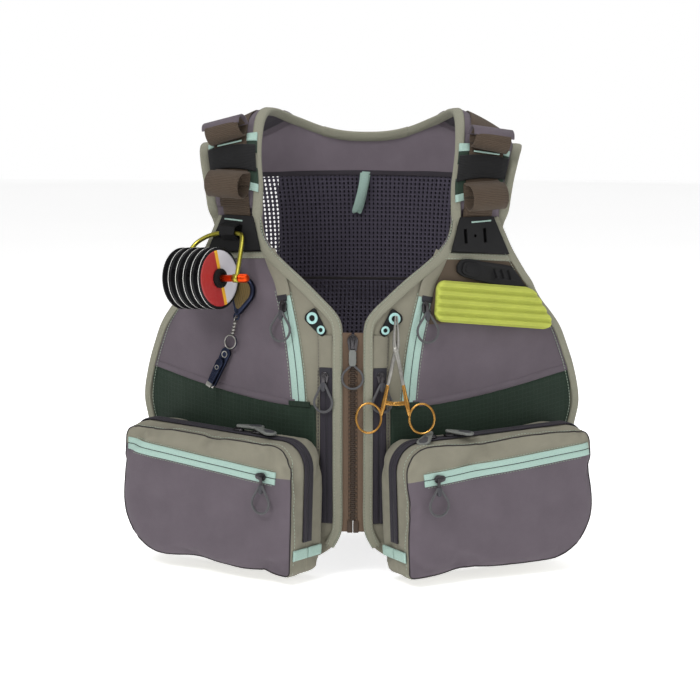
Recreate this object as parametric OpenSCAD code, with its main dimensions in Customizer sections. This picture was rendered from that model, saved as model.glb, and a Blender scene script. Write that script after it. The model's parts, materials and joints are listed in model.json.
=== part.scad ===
// Fly fishing vest: two front halves, a mesh back, padded shoulder yokes, two clamshell pockets and tools.
// Millimetres. +Z up, the wearer faces -Y, and the origin is where the vest rests between the shoulders.

/* [Body shape] */
// Distance from the shoulder line forward to the front zip
front_depth = 118; // [112:1:124]
// Distance from the shoulder line back to the middle of the back
back_depth = 100; // [96:1:110]
// Height of the front zip's bottom end below the shoulders
zip_bottom = 395; // [390:1:400]
// Height of the front zip's top end below the shoulders
zip_top = 204; // [202:1:206]
// Thickness of a sewn panel with its lining
panel_t = 3; // [2:0.5:3]
// Thickness of a padded shoulder strap
pad_t = 8; // [5:0.5:9]

/* [Pockets] */
// Width of a front pocket
pocket_w = 206; // [190:1:206]
// Height of a front pocket
pocket_h = 128; // [110:1:130]
// Depth of a front pocket from seam to seam
pocket_d = 52; // [40:1:52]
// Thickness of the pocket's wall
pocket_wall = 2; // [1.5:0.5:3]
// Height on the pocket's sides where its zip ends
pocket_zip_end = 32; // [28:1:40]

/* [Trim] */
// Width of the edge binding
binding_w = 9; // [6:0.5:10]
// Width of the shoulder webbing
webbing_w = 36; // [30:1:38]
// Width of a coil zip's tape
tape_w = 14; // [10:0.5:15]
// Thickness of the cord in a zip pull
pull_cord = 2; // [1.5:0.1:2.4]

/* [Tools] */
// Diameter of a tippet spool
spool_d = 60; // [50:1:60]
// Number of tippet spools on the bar
spool_count = 5; // [2:1:5]
// Overall length of the forceps
forceps_l = 129; // [120:1:132]
// Length of the foam fly patch
foam_l = 132; // [100:1:134]

/* [Hidden] */
$fn = 32;
gap = 0.4;

// Lines where the surface changes its lean
chest_z = 250;
nape_z = 120;
// Layers outside a front panel, from the fabric's inner face: sewn-on cloth and zips, then bindings
layer = panel_t + gap;
cloth_t = 1.2;
trim_layer = layer + cloth_t + gap;
trim_t = 1.8;

// The front half panel: rows from the shoulder down to the hem, as height, inner edge and side edge
FRONT_ROWS = [[-96, 92, 134], [-112, 89.5, 141], [-127, 80, 147.5], [-139, 67, 154], [-151, 52, 161],
    [-161, 40.5, 167.5], [-171, 30, 172], [-181, 20.5, 178], [-191, 14.5, 185.5], [-204, 12.5, 194],
    [-218, 12.5, 200], [-250, 12.5, 210], [-282, 12.5, 215],
    [-310, 12.5, 210], [-350, 12.5, 205], [-388, 12.5, 202], [-406, 14, 185], [-424, 19, 150],
    [-437, 32, 108]];
// The chest pocket's cloth: height, edge along its zip, edge along the side binding
CHEST_ROWS = [[-142, 94, 154], [-158, 84, 162], [-175, 76, 170], [-200, 70.5, 186], [-230, 65.5, 198],
    [-255, 62, 205], [-262, 61.5, 206]];
// Height of the seam between the chest cloth and the ripstop at the zip and at the side
SEAM_IN = -282;
SEAM_OUT = -264;
// Centre line of the chest zip, and of the straight inner zip, as x and z
CHEST_ZIP = [[69.5, -165], [65, -184], [59, -214], [55, -245], [52.5, -279]];
INNER_ZIP = [[25.5, -236], [25.5, -388]];
// Shoulder pad: pairs of its neck edge and its arm edge, from the front end over to the back end
PAD = [[[91, -67, -91], [140, -42, -87]], [[91, -61, -66], [144, -42, -62]],
    [[94, -48, -36], [147, -32, -44]], [[93, -24, -8], [148, -12, -34]], [[88, 8, 1], [147, 8, -32]],
    [[79, 36, -2], [143, 24, -38]], [[71, 54, -10], [138, 32, -46]]];
// Back: height and half width of its armhole and side
BACK_ROWS = [[-64, 137], [-100, 131], [-150, 128], [-200, 133], [-245, 150], [-285, 174],
    [-310, 186], [-398, 197]];
// The chest zips bulge by this much between the ends of their sliders' straight travel
SLIDER_LIFT = 1.3;
// Middle of the tool tab, and its eyelets in its own plane: x, z, inner radius and flange radius
TAB_AT = [33.6, -194.4];
EYELETS = [[4.8, 5, 3, 5.8], [-4.6, -5.9, 2.1, 4.2]];
// Lower end and upper end of the line that a front half swings about
SWING_LOW = [206, -2, -398];
SWING_HIGH = [118, -55, -100];
// Pocket frame: inner bottom corner of the zip seam, turn about Z and tilt
POCKET_AT = [43.6, -147.7, -433];
POCKET_YAW = 31;
POCKET_TILT = 2;
// Inner end of the face zip's centre line, as x and the distance below the pocket's top, and its rise in degrees
FACE_ZIP_AT = [16, 32];
FACE_ZIP_RISE = 3;
// Where each main-zip slider stands along its pocket, and how far its pull is turned towards the front
OUTER_SLIDER_LEFT = [60, 140];
INNER_SLIDER_LEFT = [42, 62];
OUTER_SLIDER_RIGHT = [84, -20];
INNER_SLIDER_RIGHT = [62, 14];
// Middle of the strap between the left dock plate's slits, from the plate's own middle
STRAP_AT = [-9, -2.5];
// Spool bail: middle of its top bar in the right dock plate, its turn about Z, its roll under load
// and its outward swing at rest
BAIL_AT = [-124.9, -65.5, -112];
BAIL_YAW = -34;
BAIL_ROLL = -4;
BAIL_SWING = 40;
// Bail from its right foot over the top to its left foot, as x and z in its own plane
BAIL = [[36, -54], [21, -6], [14, 0], [-21, 0], [-41, -14], [-39, -54]];
// Middle of the stack of spools along the bar
STACK_AT = -9.5;
// Pitch of the spools along the bar
SPOOL_PITCH = 9.6;

TAUPE = "#8f8b7c";
PLUM = "#6b6069";
GREEN = "#33483a";
MINT = "#a9cfc0";
BROWN = "#6d5c50";
BLACK = "#262528";
SLATE = "#4a464e";
METAL = "#55524f";
GOLD = "#b88a4a";
LIME = "#b9c94f";
YELLOW = "#b3a93c";
ORANGE = "#c2542a";

// ---- curves and surfaces ----

function clip(x, a, b) = max(a, min(b, x));
function mix(a, b, t) = a + (b - a) * t;
function unit(v) = v / norm(v);
function item(list, i) = list[clip(i, 0, len(list) - 1)];
// A smooth curve through a list of numbers or points
function spline(a, b, c, d, t) =
    0.5 * (2 * b + (c - a) * t + (2 * a - 5 * b + 4 * c - d) * t * t + (3 * b - a - 3 * c + d) * t * t * t);
function along(list, u) =
    let (i = clip(floor(u), 0, len(list) - 2), t = u - i)
    spline(item(list, i - 1), item(list, i), item(list, i + 1), item(list, i + 2), t);
function smooth(list, steps) = [for (k = [0:steps]) along(list, k * (len(list) - 1) / steps)];
// Distance that a rounded wedge falls back at x
function wedge(x, slope, round) = slope * (sqrt(x * x + round * round) - round);
function front_y(x, z) =
    -(front_depth - 42 * pow(max(0, (z + chest_z) / chest_z), 2)) + wedge(x, 0.7, 60);
function back_y(x, z) =
    back_depth - 30 * pow(max(0, (z + nape_z) / nape_z), 2) - wedge(x, 0.75, 110);

// Closed solid between two grids of points with the same rows and columns; the first is the outer skin
module shell(outer, inner) {
    n = len(outer);
    m = len(outer[0]);
    function id(s, i, j) = (s * n + i) * m + j;
    function quad(a, b, c, d) = [[a, b, c], [a, c, d]];
    polyhedron(convexity = 8, points = concat([for (r = outer) each r], [for (r = inner) each r]),
        faces = concat(
            [for (i = [0:n - 2], j = [0:m - 2])
                each quad(id(0, i, j), id(0, i, j + 1), id(0, i + 1, j + 1), id(0, i + 1, j))],
            [for (i = [0:n - 2], j = [0:m - 2])
                each quad(id(1, i, j), id(1, i + 1, j), id(1, i + 1, j + 1), id(1, i, j + 1))],
            [for (i = [0:n - 2]) each quad(id(0, i, 0), id(0, i + 1, 0), id(1, i + 1, 0), id(1, i, 0))],
            [for (i = [0:n - 2])
                each quad(id(0, i, m - 1), id(1, i, m - 1), id(1, i + 1, m - 1), id(0, i + 1, m - 1))],
            [for (j = [0:m - 2]) each quad(id(0, 0, j), id(1, 0, j), id(1, 0, j + 1), id(0, 0, j + 1))],
            [for (j = [0:m - 2])
                each quad(id(0, n - 1, j), id(0, n - 1, j + 1), id(1, n - 1, j + 1), id(1, n - 1, j))]));
}

// Cloth on the front surface, from d0 to d1 in front of it, given by rows of height, inner x and outer x
module front_patch(rows, d0, d1, down = 14, across = 6) {
    function grid(d) = [for (r = smooth(rows, down)) [for (j = [0:across])
        let (x = mix(r[1], r[2], j / across)) [x, front_y(x, r[0]) - d, r[0]]]];
    shell(grid(d1), grid(d0));
}

// Cloth outside the back surface
module back_patch(rows, d0, d1, down = 10, across = 14) {
    function grid(d) = [for (r = smooth(rows, down)) [for (j = [0:across])
        let (x = mix(r[1], -r[1], j / across)) [x, back_y(x, r[0]) + d, r[0]]]];
    shell(grid(d1), grid(d0));
}

// Closed loop of round cord through points in the XZ plane, with a ring of sides at each point
module loop_of_cord(points, r, sides = 8) {
    n = len(points);
    function ring(i) = let (t = unit(points[(i + 1) % n] - points[(i + n - 1) % n]))
        [for (k = [0:sides - 1]) let (a = 360 * k / sides)
            [points[i][0] + r * cos(a) * t[1], r * sin(a), points[i][1] - r * cos(a) * t[0]]];
    polyhedron(convexity = 6, points = [for (i = [0:n - 1]) each ring(i)],
        faces = [for (i = [0:n - 1], k = [0:sides - 1])
            let (a = i * sides + k, b = i * sides + (k + 1) % sides,
                c = ((i + 1) % n) * sides + (k + 1) % sides, d = ((i + 1) % n) * sides + k)
            each [[a, c, b], [a, d, c]]]);
}

// Ribbon of width w along points of x and z on the front surface
module front_ribbon(path, w, d0, d1, steps = 10) {
    pts = smooth(path, steps);
    n = len(pts) - 1;
    function side(i) = let (t = unit(pts[min(i + 1, n)] - pts[max(i - 1, 0)])) [t[1], -t[0]] * w / 2;
    function skin(d) = [for (i = [0:n]) [for (s = [1, -1])
        let (p = pts[i] + side(i) * s) [p[0], front_y(p[0], p[1]) - d, p[1]]]];
    shell(skin(d1), skin(d0));
}

// Frame on the front surface at x and z: X runs along the cloth, -Y points out of it
module on_front(x, z, d = 0) {
    e = 0.5;
    p = [x, front_y(x, z), z];
    tx = unit([x + e, front_y(x + e, z), z] - p);
    tz0 = [x, front_y(x, z + e), z + e] - p;
    tz = unit(tz0 - (tz0 * tx) * tx);
    ny = cross(tz, tx);
    multmatrix([[tx[0], ny[0], tz[0], p[0] - d * ny[0]], [tx[1], ny[1], tz[1], p[1] - d * ny[1]],
        [tx[2], ny[2], tz[2], p[2] - d * ny[2]], [0, 0, 0, 1]]) children();
}

// The wearer's left half is drawn, and side = -1 mirrors it to the right
module half(side) {
    if (side > 0) children();
    else mirror([1, 0, 0]) children();
}

// Plate standing in the XZ plane, its front face at y = -t
module plate(t) {
    rotate([90, 0, 0]) linear_extrude(t) children();
}

module rounded(w, h, r) {
    hull() for (x = [r, w - r], y = [r, h - r]) translate([x, y]) circle(r);
}

// ---- shoulder pads ----

// Point of a pad's underside: s runs from front to back in stations, u from the neck edge to the arm edge
function pad_point(s, u) =
    mix(along([for (p = PAD) p[0]], s), along([for (p = PAD) p[1]], s), u) + [0, 0, 3 * sin(180 * u)];
function pad_normal(s, u) = let (e = 0.02)
    unit(cross(pad_point(s, u + e) - pad_point(s, u - e), pad_point(s + e, u) - pad_point(s - e, u)));

// Piece of cloth that follows a pad, from d0 to d1 above its underside
module pad_patch(s0, s1, u0, u1, d0, d1, ns = 8, nu = 3) {
    function grid(d) = [for (i = [0:ns]) [for (j = [0:nu])
        let (s = mix(s0, s1, i / ns), u = mix(u0, u1, j / nu)) pad_point(s, u) + d * pad_normal(s, u)]];
    shell(grid(d0), grid(d1));
}

// Frame on a pad: X from neck edge to arm edge, Z towards the crest, -Y out of the pad
module on_pad(s, u, d) {
    n = pad_normal(s, u);
    x = unit(pad_point(s, u + 0.02) - pad_point(s, u - 0.02));
    y = -n;
    z = cross(x, y);
    p = pad_point(s, u) + d * n;
    multmatrix([[x[0], y[0], z[0], p[0]], [x[1], y[1], z[1], p[1]], [x[2], y[2], z[2], p[2]], [0, 0, 0, 1]])
        children();
}

module shoulder_pad(side) {
    color(PLUM) half(side) pad_patch(0, 5.6, 0, 1, 0, pad_t, 14, 4);
}

// Brown webbing along the pad, with a sewn loop low on the front and a folded tab near the crest
module shoulder_webbing(side) {
    color(BROWN) half(side) {
        pad_patch(0.3, 5, 0.24, 0.84, pad_t + gap, pad_t + gap + 1.2, 14, 4);
        on_pad(0.6, 0.54, pad_t + 1.8) webbing_loop(webbing_w, 14, 1.3);
        on_pad(2.35, 0.54, pad_t + 3) webbing_loop(webbing_w, 9, 1.3);
    }
}

// Teardrop tube of webbing with its axis along X, flat against the strap at y = 0
module webbing_loop(w, r, t) {
    translate([-w / 2, -r, 0]) rotate([0, 90, 0]) difference() {
        cylinder(r = r, h = w);
        translate([0, 0, -1]) cylinder(r = r - t, h = w + 2);
    }
}

// Black stretch band over the webbing, and the two mint bars beside it
module shoulder_bands(side) {
    half(side) {
        color(BLACK) pad_patch(1.2, 1.95, 0.08, 0.92, pad_t + 2.4, pad_t + 3.4, 4, 3);
        color(MINT) for (s = [0.55, 2.15]) {
            pad_patch(s, s + 0.2, 0.06, 0.21, pad_t + gap, pad_t + 1.4, 2, 1);
            pad_patch(s, s + 0.2, 0.87, 0.94, pad_t + gap, pad_t + 1.4, 2, 1);
        }
    }
}

// ---- back ----

module back_panel() {
    color(SLATE) back_patch(BACK_ROWS, 0, panel_t, 12, 14);
}

// Height of the yoke's top edge: the neck curve in the middle, then down along the shoulder seam
function yoke_top(x) = abs(x) < 66 ? -22.5 + 17 * pow(abs(x) / 66, 2.4) : -5.5 - 0.5 * (abs(x) - 66);

module yoke_grid(z0, z1, d0, d1, half_w) {
    across = 16;
    down = 3;
    function grid(d) = [for (i = [0:down]) [for (j = [0:across])
        let (x = mix(half_w, -half_w, j / across), top = yoke_top(x),
            z = mix(top + z0, z1 == 0 ? -62 : top + z1, i / down)) [x, back_y(x, z) + d, z]]];
    shell(grid(d1), grid(d0));
}

module back_yoke() {
    color(PLUM) yoke_grid(-1, 0, 0, panel_t + 1, 134);
}

// Binding round the neck and the hem
module back_binding() {
    color(TAUPE) {
        yoke_grid(0.5, -binding_w, panel_t + 1 + gap, panel_t + 3, 64);
        yoke_grid(0.5, -binding_w, -2, -gap, 64);
        back_patch([[-389, 196], [-398, 197]], panel_t + gap, panel_t + 2, 1, 14);
    }
}

// Wide zipped pocket on the outside of the back
module back_pocket() {
    color(PLUM) back_patch([[-172, 92], [-190, 104], [-250, 116], [-330, 120], [-372, 114], [-384, 100]],
        panel_t + gap, panel_t + 14, 8, 10);
}

// The net ring's tab stands clear of the panel at its lower end, and its sleeve holds the bar this far out
NET_BAR_OUT = 4.4;
function net_tab_y() = back_y(0, -100) + panel_t + gap;

module net_ring_tab() {
    color(BLACK) translate([0, net_tab_y(), -86]) rotate([90, 0, 180])
        difference() {
            union() {
                linear_extrude(2) translate([-14, -14]) rounded(28, 34, 4);
                translate([0, 20, NET_BAR_OUT]) rotate([0, 90, 0]) cylinder(r = 3.4, h = 20, center = true);
            }
            translate([0, 20, NET_BAR_OUT]) rotate([0, 90, 0]) cylinder(r = 1.9, h = 22, center = true);
        }
}

// Place of the net ring's straight bar, inside the tab's sleeve
function net_bar() = [0, net_tab_y() + NET_BAR_OUT, -66];

module net_ring() {
    r = 1.8;
    w = 14;
    color(METAL) translate(net_bar()) {
        rotate([0, 90, 0]) cylinder(r = r, h = 2 * w, center = true);
        for (x = [-w, w]) translate([x, 0, 0]) {
            sphere(r);
            mirror([0, 0, 1]) cylinder(r = r, h = 10);
        }
        translate([0, 0, -10]) rotate([90, 0, 0]) rotate_extrude(angle = 180, start = 180)
            translate([w, 0]) circle(r);
    }
}

// Ribbon loop inside the nape
module hang_loop() {
    y = back_y(-9, -66);
    color(MINT) translate([-3, y - 1.4, -64]) rotate([0, 12, 0]) rotate([90, 0, 0]) linear_extrude(2.2)
        translate([-4, -40]) rounded(8, 40, 2);
}

// Webbing and ladder-lock buckle that draw the back to the front half
module side_strap(side) {
    half(side) for (z = [-345, -375]) translate([150, 48, z]) rotate([0, 0, -33]) {
        color(BROWN) translate([-34, 0, -9.5]) cube([62, 1.6, 19]);
        color(BLACK) translate([10, 2, -12]) difference() {
            cube([14, 4, 24]);
            for (x = [2.5, 8.5]) translate([x, -1, 2]) cube([3, 6, 20]);
        }
    }
}

// ---- front halves ----

// The eyelets' holes go through it
module front_panel(side) {
    color(TAUPE) half(side) difference() {
        front_patch(FRONT_ROWS, 0, panel_t, 24, 8);
        at_tab() for (e = EYELETS) translate([e[0], 10, e[1]]) rotate([90, 0, 0]) cylinder(r = e[2] + 0.6, h = 20);
    }
}

module chest_cloth(side) {
    color(PLUM) half(side) front_patch(CHEST_ROWS, layer, layer + cloth_t, 10, 5);
}

// Ripstop between the chest seam and the hem: its top edge follows the seam
module ripstop(side) {
    across = 7;
    down = 4;
    function seam(x) = mix(SEAM_IN, SEAM_OUT, pow(clip((x - 60) / 140, 0, 1), 1.4)) - 1;
    function grid(d) = [for (i = [0:down]) [for (j = [0:across])
        let (x = mix(36, 198, j / across), z = mix(seam(x), -398 - 12 * (1 - j / across), i / down))
        [x, front_y(x, z) - d, z]]];
    color(GREEN) half(side) shell(grid(layer + cloth_t), grid(layer));
}

// Edge binding: the neck edge with the front edge, and the armhole edge
module front_binding(side) {
    last = len(FRONT_ROWS) - 2;
    inner = [for (i = [0:last]) [FRONT_ROWS[i][1] + binding_w / 2, FRONT_ROWS[i][0]]];
    outer = [for (i = [0:last - 1]) [FRONT_ROWS[i][2] - binding_w / 2, FRONT_ROWS[i][0]]];
    color(TAUPE) half(side) {
        front_ribbon(inner, binding_w, trim_layer, trim_layer + trim_t, 28);
        front_ribbon(outer, binding_w, trim_layer, trim_layer + trim_t, 20);
    }
}

// Moulded plate with two slits, and between them the strap that tools hang from; on the wearer's right the
// strap bulges over the spool bail
module dock_plate(side) {
    slit = 14;
    slit_w = 3.6;
    strap = 18;
    bulge = 8;
    color(BLACK) half(side) on_front(118, -112, trim_layer + trim_t + gap) {
        plate(2) difference() {
            polygon([[-24, 16], [13, 15.5], [28, -22], [-36, -16]]);
            if (side > 0) translate(STRAP_AT) {
                for (x = [-strap / 2 - slit_w, strap / 2]) translate([x, -slit / 2]) square([slit_w, slit]);
                circle(1.5);
            }
            else square([strap + 8, slit], center = true);
        }
        if (side < 0) rotate([0, 90, 0]) linear_extrude(strap, center = true)
            polygon([[-slit / 2 - 2, -2], [-4, -2 - bulge], [4, -2 - bulge], [slit / 2 + 2, -2], [slit / 2 - 0.6, -2],
                [3.4, -0.8 - bulge], [-3.4, -0.8 - bulge], [0.6 - slit / 2, -2]]);
    }
}

module chest_zip(side) {
    color(MINT) half(side) front_ribbon(CHEST_ZIP, tape_w, layer, layer + 1, 8);
}

module inner_zip(side) {
    color(SLATE) half(side) front_ribbon(INNER_ZIP, tape_w - 1, layer, layer + 1, 6);
}

// Reinforced tab with two eyelets: the larger one holds the forceps on the wearer's left
module at_tab() {
    on_front(TAB_AT[0], TAB_AT[1], layer) children();
}

module tool_tab(side) {
    barrel = 0.5;
    half(side) at_tab() {
        color(BLACK) plate(1.4) difference() {
            offset(2) polygon([[3.4, 12.6], [10, 7.5], [11, 3.6], [-5.5, -10.2], [-8.2, -7.5]]);
            for (e = EYELETS) translate([e[0], e[1]]) circle(e[2] + barrel + 0.1);
        }
        color(MINT) for (e = EYELETS) translate([e[0], 0, e[1]]) rotate([90, 0, 0]) rotate_extrude()
            polygon([[e[2], 0.1], [e[2] + barrel, 0.1], [e[2] + barrel, 1.5], [e[3], 1.5], [e[3] - 0.4, 2.3],
                [e[2], 2.3]]);
    }
}

// Half of the front zip: tape and its moulded teeth
module zip_chain(side) {
    pitch = 4;
    top = -zip_top - 18;
    y = -front_depth - 1;
    count = floor((zip_bottom - zip_top - 30) / pitch);
    half(side) {
        color(BROWN) translate([2.4, y - 0.6, -zip_bottom]) cube([9.6, 1, zip_bottom - zip_top - 2]);
        color("#4a3f38") for (i = [0:count]) translate([0, y - 1.7, top - i * pitch - (side > 0 ? 0 : pitch / 2)])
            union() {
                translate([-1.6, 0, -0.7]) cube([5.2, 1, 1.4]);
                translate([-1.6, 2.2, -0.7]) cube([5.2, 1, 1.4]);
                translate([-1.6, 0, -0.7]) cube([3.8, 3.2, 1.4]);
            }
        color(BLACK) translate([0.2, y - 2, -zip_bottom - 2]) difference() {
            cube([5.4, 4, 12]);
            translate([2.1, 1.3, -1]) cube([5, 1.3, 14]);
        }
    }
}

// ---- zip sliders ----

// Slider body that rides on a closed zip: a crown plate with rails, standing in the XZ plane, nose up
module slider_body(w, l) {
    plate(1.6) hull() {
        translate([0, l / 2 - w / 2]) circle(w / 2);
        translate([0, -l / 2 + w * 0.36]) circle(w * 0.36);
    }
    translate([0, -2.2, l * 0.22]) rotate([0, 90, 0]) difference() {
        cylinder(r = 2.2, h = 2.4, center = true);
        cylinder(r = 1.1, h = 3, center = true);
    }
}

// Cord drawn into a drop-shaped loop that hangs from the origin, in the XZ plane: an arc below of radius r, a
// small one above, and straight runs between them
module cord_drop(r, drop) {
    tip = pull_cord * 0.8;
    lean = asin((r - tip) / (drop - r - tip));
    low = [for (i = [0:14]) let (a = mix(180 - lean, 360 + lean, i / 14)) [r * cos(a), r - drop + r * sin(a)]];
    high = [for (i = [0:5]) let (a = mix(lean, 180 - lean, i / 5)) [tip * cos(a), tip * sin(a) - tip]];
    loop_of_cord(concat(low, high), pull_cord / 2);
}

// Slider turned along its zip, with a short metal link and a cord pull that hang straight down
module corded_slider(w, l, r, drop, turn) {
    color(METAL) {
        rotate([0, turn, 0]) slider_body(w, l);
        translate([0.6, -3.6, l * 0.22 - 5]) cube([2.6, 1.2, 8], center = true);
    }
    color(SLATE) translate([0.6, -3.6, l * 0.22 - 8.6]) cord_drop(r, drop);
}

module chest_slider(side) {
    half(side) on_front(65.4, -180, layer + 1 + gap + SLIDER_LIFT) corded_slider(8, 12, 10, 28, 12);
}

module inner_slider(side) {
    half(side) on_front(25.5, -246, layer + 1 + gap) corded_slider(8, 12, 8, 27, 0);
}

// Slider of the front zip: two plates round the teeth, joined by a bridge at the nose, and a bail for the pull
module front_slider() {
    y = -front_depth - 2.7;
    color(METAL) translate([0, 0, -zip_top - 8]) difference() {
        union() {
            for (d = [y, y + 6]) translate([0, d, 0]) plate(1.6) hull() {
                translate([0, 3]) circle(5);
                translate([0, -5]) circle(4);
            }
            translate([0, y + 2.2, 5]) cube([2.4, 6, 4], center = true);
            translate([0, y - 2.6, 4]) cube([3.2, 5, 5], center = true);
        }
        translate([0, y - 3.2, 4]) rotate([0, 90, 0]) cylinder(r = 1.3, h = 8, center = true);
    }
}

// Axis of the front slider's pull
function front_pull_at() = [0, -front_depth - 5.9, -zip_top - 4];

module front_slider_pull() {
    color(METAL) translate(front_pull_at()) {
        rotate([0, 90, 0]) cylinder(r = 1.2, h = 6.4, center = true);
        for (x = [-2.6, 2.6]) translate([x, 0, -5]) cube([1.2, 2, 11], center = true);
        translate([0, 0, -17.5]) cube([6.4, 2.4, 16], center = true);
    }
    color(SLATE) translate(front_pull_at() - [0, 0, 27]) cord_drop(10, 22);
}

// ---- front pockets ----

module in_pocket(side) {
    half(side) translate(POCKET_AT) rotate([0, 0, POCKET_YAW]) rotate([0, -POCKET_TILT, 0]) children();
}

// Outline of a pocket seen from the front, from its inner bottom corner, grown by g
module pocket_outline(g = 0) {
    offset(delta = g) hull() {
        translate([6, 6]) circle(6);
        translate([26, pocket_h - 26]) circle(26);
        translate([pocket_w - 18, pocket_h - 18]) circle(18);
        translate([pocket_w - 52, 52]) circle(52);
    }
}

// Tray with its open side towards +Y (front = true) or -Y
module pocket_tray(depth) {
    difference() {
        plate(depth) pocket_outline();
        translate([0, 1, 0]) plate(depth - pocket_wall + 1) pocket_outline(-pocket_wall);
    }
}

module pocket_back(side) {
    color(TAUPE) in_pocket(side) translate([0, gap / 2, 0]) mirror([0, 1, 0]) pocket_tray(pocket_d / 2 - gap / 2);
}

module pocket_cover(side) {
    color(PLUM) in_pocket(side) translate([0, -gap / 2, 0]) pocket_tray(pocket_d / 2 - gap / 2);
    color(SLATE) in_pocket(side) translate([0, -gap / 2, 0]) zip_tape();
    color(MINT) in_pocket(side) translate([FACE_ZIP_AT[0], -pocket_d / 2 - gap, pocket_h - FACE_ZIP_AT[1]])
        rotate([0, -FACE_ZIP_RISE, 0]) plate(1) translate([0, -6]) square([pocket_w - 22, 12]);
}

// Half of the main zip's tape, round the pocket's sides and top
module zip_tape() {
    plate(5.5) intersection() {
        difference() {
            pocket_outline(1.4);
            pocket_outline(gap);
        }
        translate([-5, pocket_zip_end]) square([pocket_w + 10, pocket_h]);
    }
}

module pocket_zip(side) {
    color(SLATE) in_pocket(side) translate([0, gap / 2 + 5.5, 0]) zip_tape();
}

module cover_slider(side) {
    in_pocket(side) translate([FACE_ZIP_AT[0], -pocket_d / 2 - 1.4 - gap, pocket_h - FACE_ZIP_AT[1]])
        rotate([0, -FACE_ZIP_RISE, 0]) translate([16, 0, 0]) rotate([0, FACE_ZIP_RISE, 0]) {
        color(METAL) rotate([0, -90, 0]) slider_body(8, 12);
        color(METAL) translate([-2.6, -3.2, -4]) cube([2.6, 1.2, 9], center = true);
        color(SLATE) translate([-2.6, -3.2, -9.9]) cord_drop(10, 27);
    }
}

// Slider on the main zip's tape, in the XY plane, with a moulded drop-shaped pull that lies along -X
module pocket_slider(turn) {
    color(METAL) {
        translate([-6, -4, 0]) cube([12, 8, 1.6]);
        translate([0, 0, 2.4]) cube([4, 2.4, 2], center = true);
    }
    color(SLATE) translate([-1, 0, 3.5]) rotate([0, 0, turn]) linear_extrude(1.4) hull() {
        circle(2.6);
        translate([-14, 0]) circle(5.5);
    }
}

// The slider that runs to the outer end of the pocket, and the one that runs towards the centre
module pocket_slider_outer(side) {
    p = side > 0 ? OUTER_SLIDER_LEFT : OUTER_SLIDER_RIGHT;
    in_pocket(side) translate([p[0], 0, pocket_h + 1.4 + gap]) pocket_slider(p[1]);
}

module pocket_slider_inner(side) {
    p = side > 0 ? INNER_SLIDER_LEFT : INNER_SLIDER_RIGHT;
    in_pocket(side) translate([p[0], 0, pocket_h + 1.4 + gap]) pocket_slider(p[1]);
}

// ---- tools ----

module at_bail() {
    translate(BAIL_AT) rotate([0, 0, BAIL_YAW]) rotate([-BAIL_SWING, BAIL_ROLL, 0]) children();
}

// Half of the spool stack's length
stack_half = SPOOL_PITCH * spool_count / 2;
bail_r = 2.2;
bar_r = 3.4;

// Bent rod through points of x and z, in the XZ plane
module rod(points, r) {
    for (i = [0:len(points) - 1]) translate([points[i][0], 0, points[i][1]]) {
        sphere(r + 0.2);
        if (i > 0) let (v = points[i - 1] - points[i])
            rotate([0, atan2(v[0], v[1]), 0]) cylinder(r = r, h = norm(v));
    }
}

// D-shaped rod that hangs in the dock plate, with the bar that carries the spools across its feet
module tippet_bail() {
    foot = BAIL[0];
    far = BAIL[len(BAIL) - 1];
    at_bail() {
        color(YELLOW) rod(BAIL, bail_r);
        color(ORANGE) translate([far[0] - 6, 0, far[1]]) rotate([0, 90, 0])
            cylinder(r = bar_r, h = foot[0] - far[0] + 20);
    }
}

module tippet_spools() {
    color(BLACK) at_bail() for (i = [0:spool_count - 1])
        translate([STACK_AT + (i - (spool_count - 1) / 2) * SPOOL_PITCH, 0, BAIL[0][1]]) rotate([0, 90, 0])
            difference() {
                union() {
                    for (z = [-4.5, 2.9]) translate([0, 0, z]) cylinder(d = spool_d, h = 1.6);
                    translate([0, 0, -4.5]) cylinder(d = spool_d - 14, h = 9);
                }
                translate([0, 0, -6]) cylinder(r = bar_r + gap, h = 12);
            }
}

// Retractor pinned to the panel behind the spools; the ring under it carries the nippers
RETRACTOR_AT = [-106, -168];
RETRACTOR_OUT = 5.2;
module at_retractor() {
    on_front(RETRACTOR_AT[0], RETRACTOR_AT[1], RETRACTOR_OUT) rotate([0, 12, 0]) children();
}

module retractor() {
    at_retractor() {
        color(METAL) plate(5.4) hull() {
            circle(14);
            translate([0, -19.4]) circle(4.6);
        }
        color(METAL) translate([0, -4, -26]) rotate([90, 0, 0]) difference() {
            cylinder(r = 4, h = 2.6, center = true);
            cylinder(r = 1.5, h = 4, center = true);
        }
    }
}

// The nippers hang from the retractor's eye, and their blades lean further over than the chain
BLADE_LEAN = 13;
module at_nippers() {
    at_retractor() translate([0, -4, -26]) children();
}

module at_blades() {
    at_nippers() translate([0, 0, -26]) rotate([0, BLADE_LEAN, 0]) children();
}

// Swivel chain, split ring and the lower blade
module nippers() {
    color(METAL) at_nippers() {
        rotate([90, 0, 0]) cylinder(r = 1.2, h = 4.4, center = true);
        difference() {
            translate([-1.1, -2.4, -19]) cube([2.2, 4.8, 20.2]);
            translate([-2, -1.6, -6.2]) cube([4, 3.2, 9]);
        }
    }
    color(METAL) at_blades() {
        rotate([90, 0, 0]) difference() {
            cylinder(r = 8, h = 3, center = true);
            cylinder(r = 5.6, h = 4, center = true);
        }
        difference() {
            translate([-5.5, -1.5, -50]) cube([11, 3, 43.5]);
            translate([0, 0, -14]) rotate([90, 0, 0]) cylinder(r = 3, h = 8, center = true);
        }
    }
}

// Upper blade, hinged at its upper end
module nipper_lever() {
    color(BLACK) at_blades() translate([0, -3.6, -20.5]) rotate([-3, 0, 0])
        translate([-4.5, 0, -29]) cube([9, 1.6, 29]);
}

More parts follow.
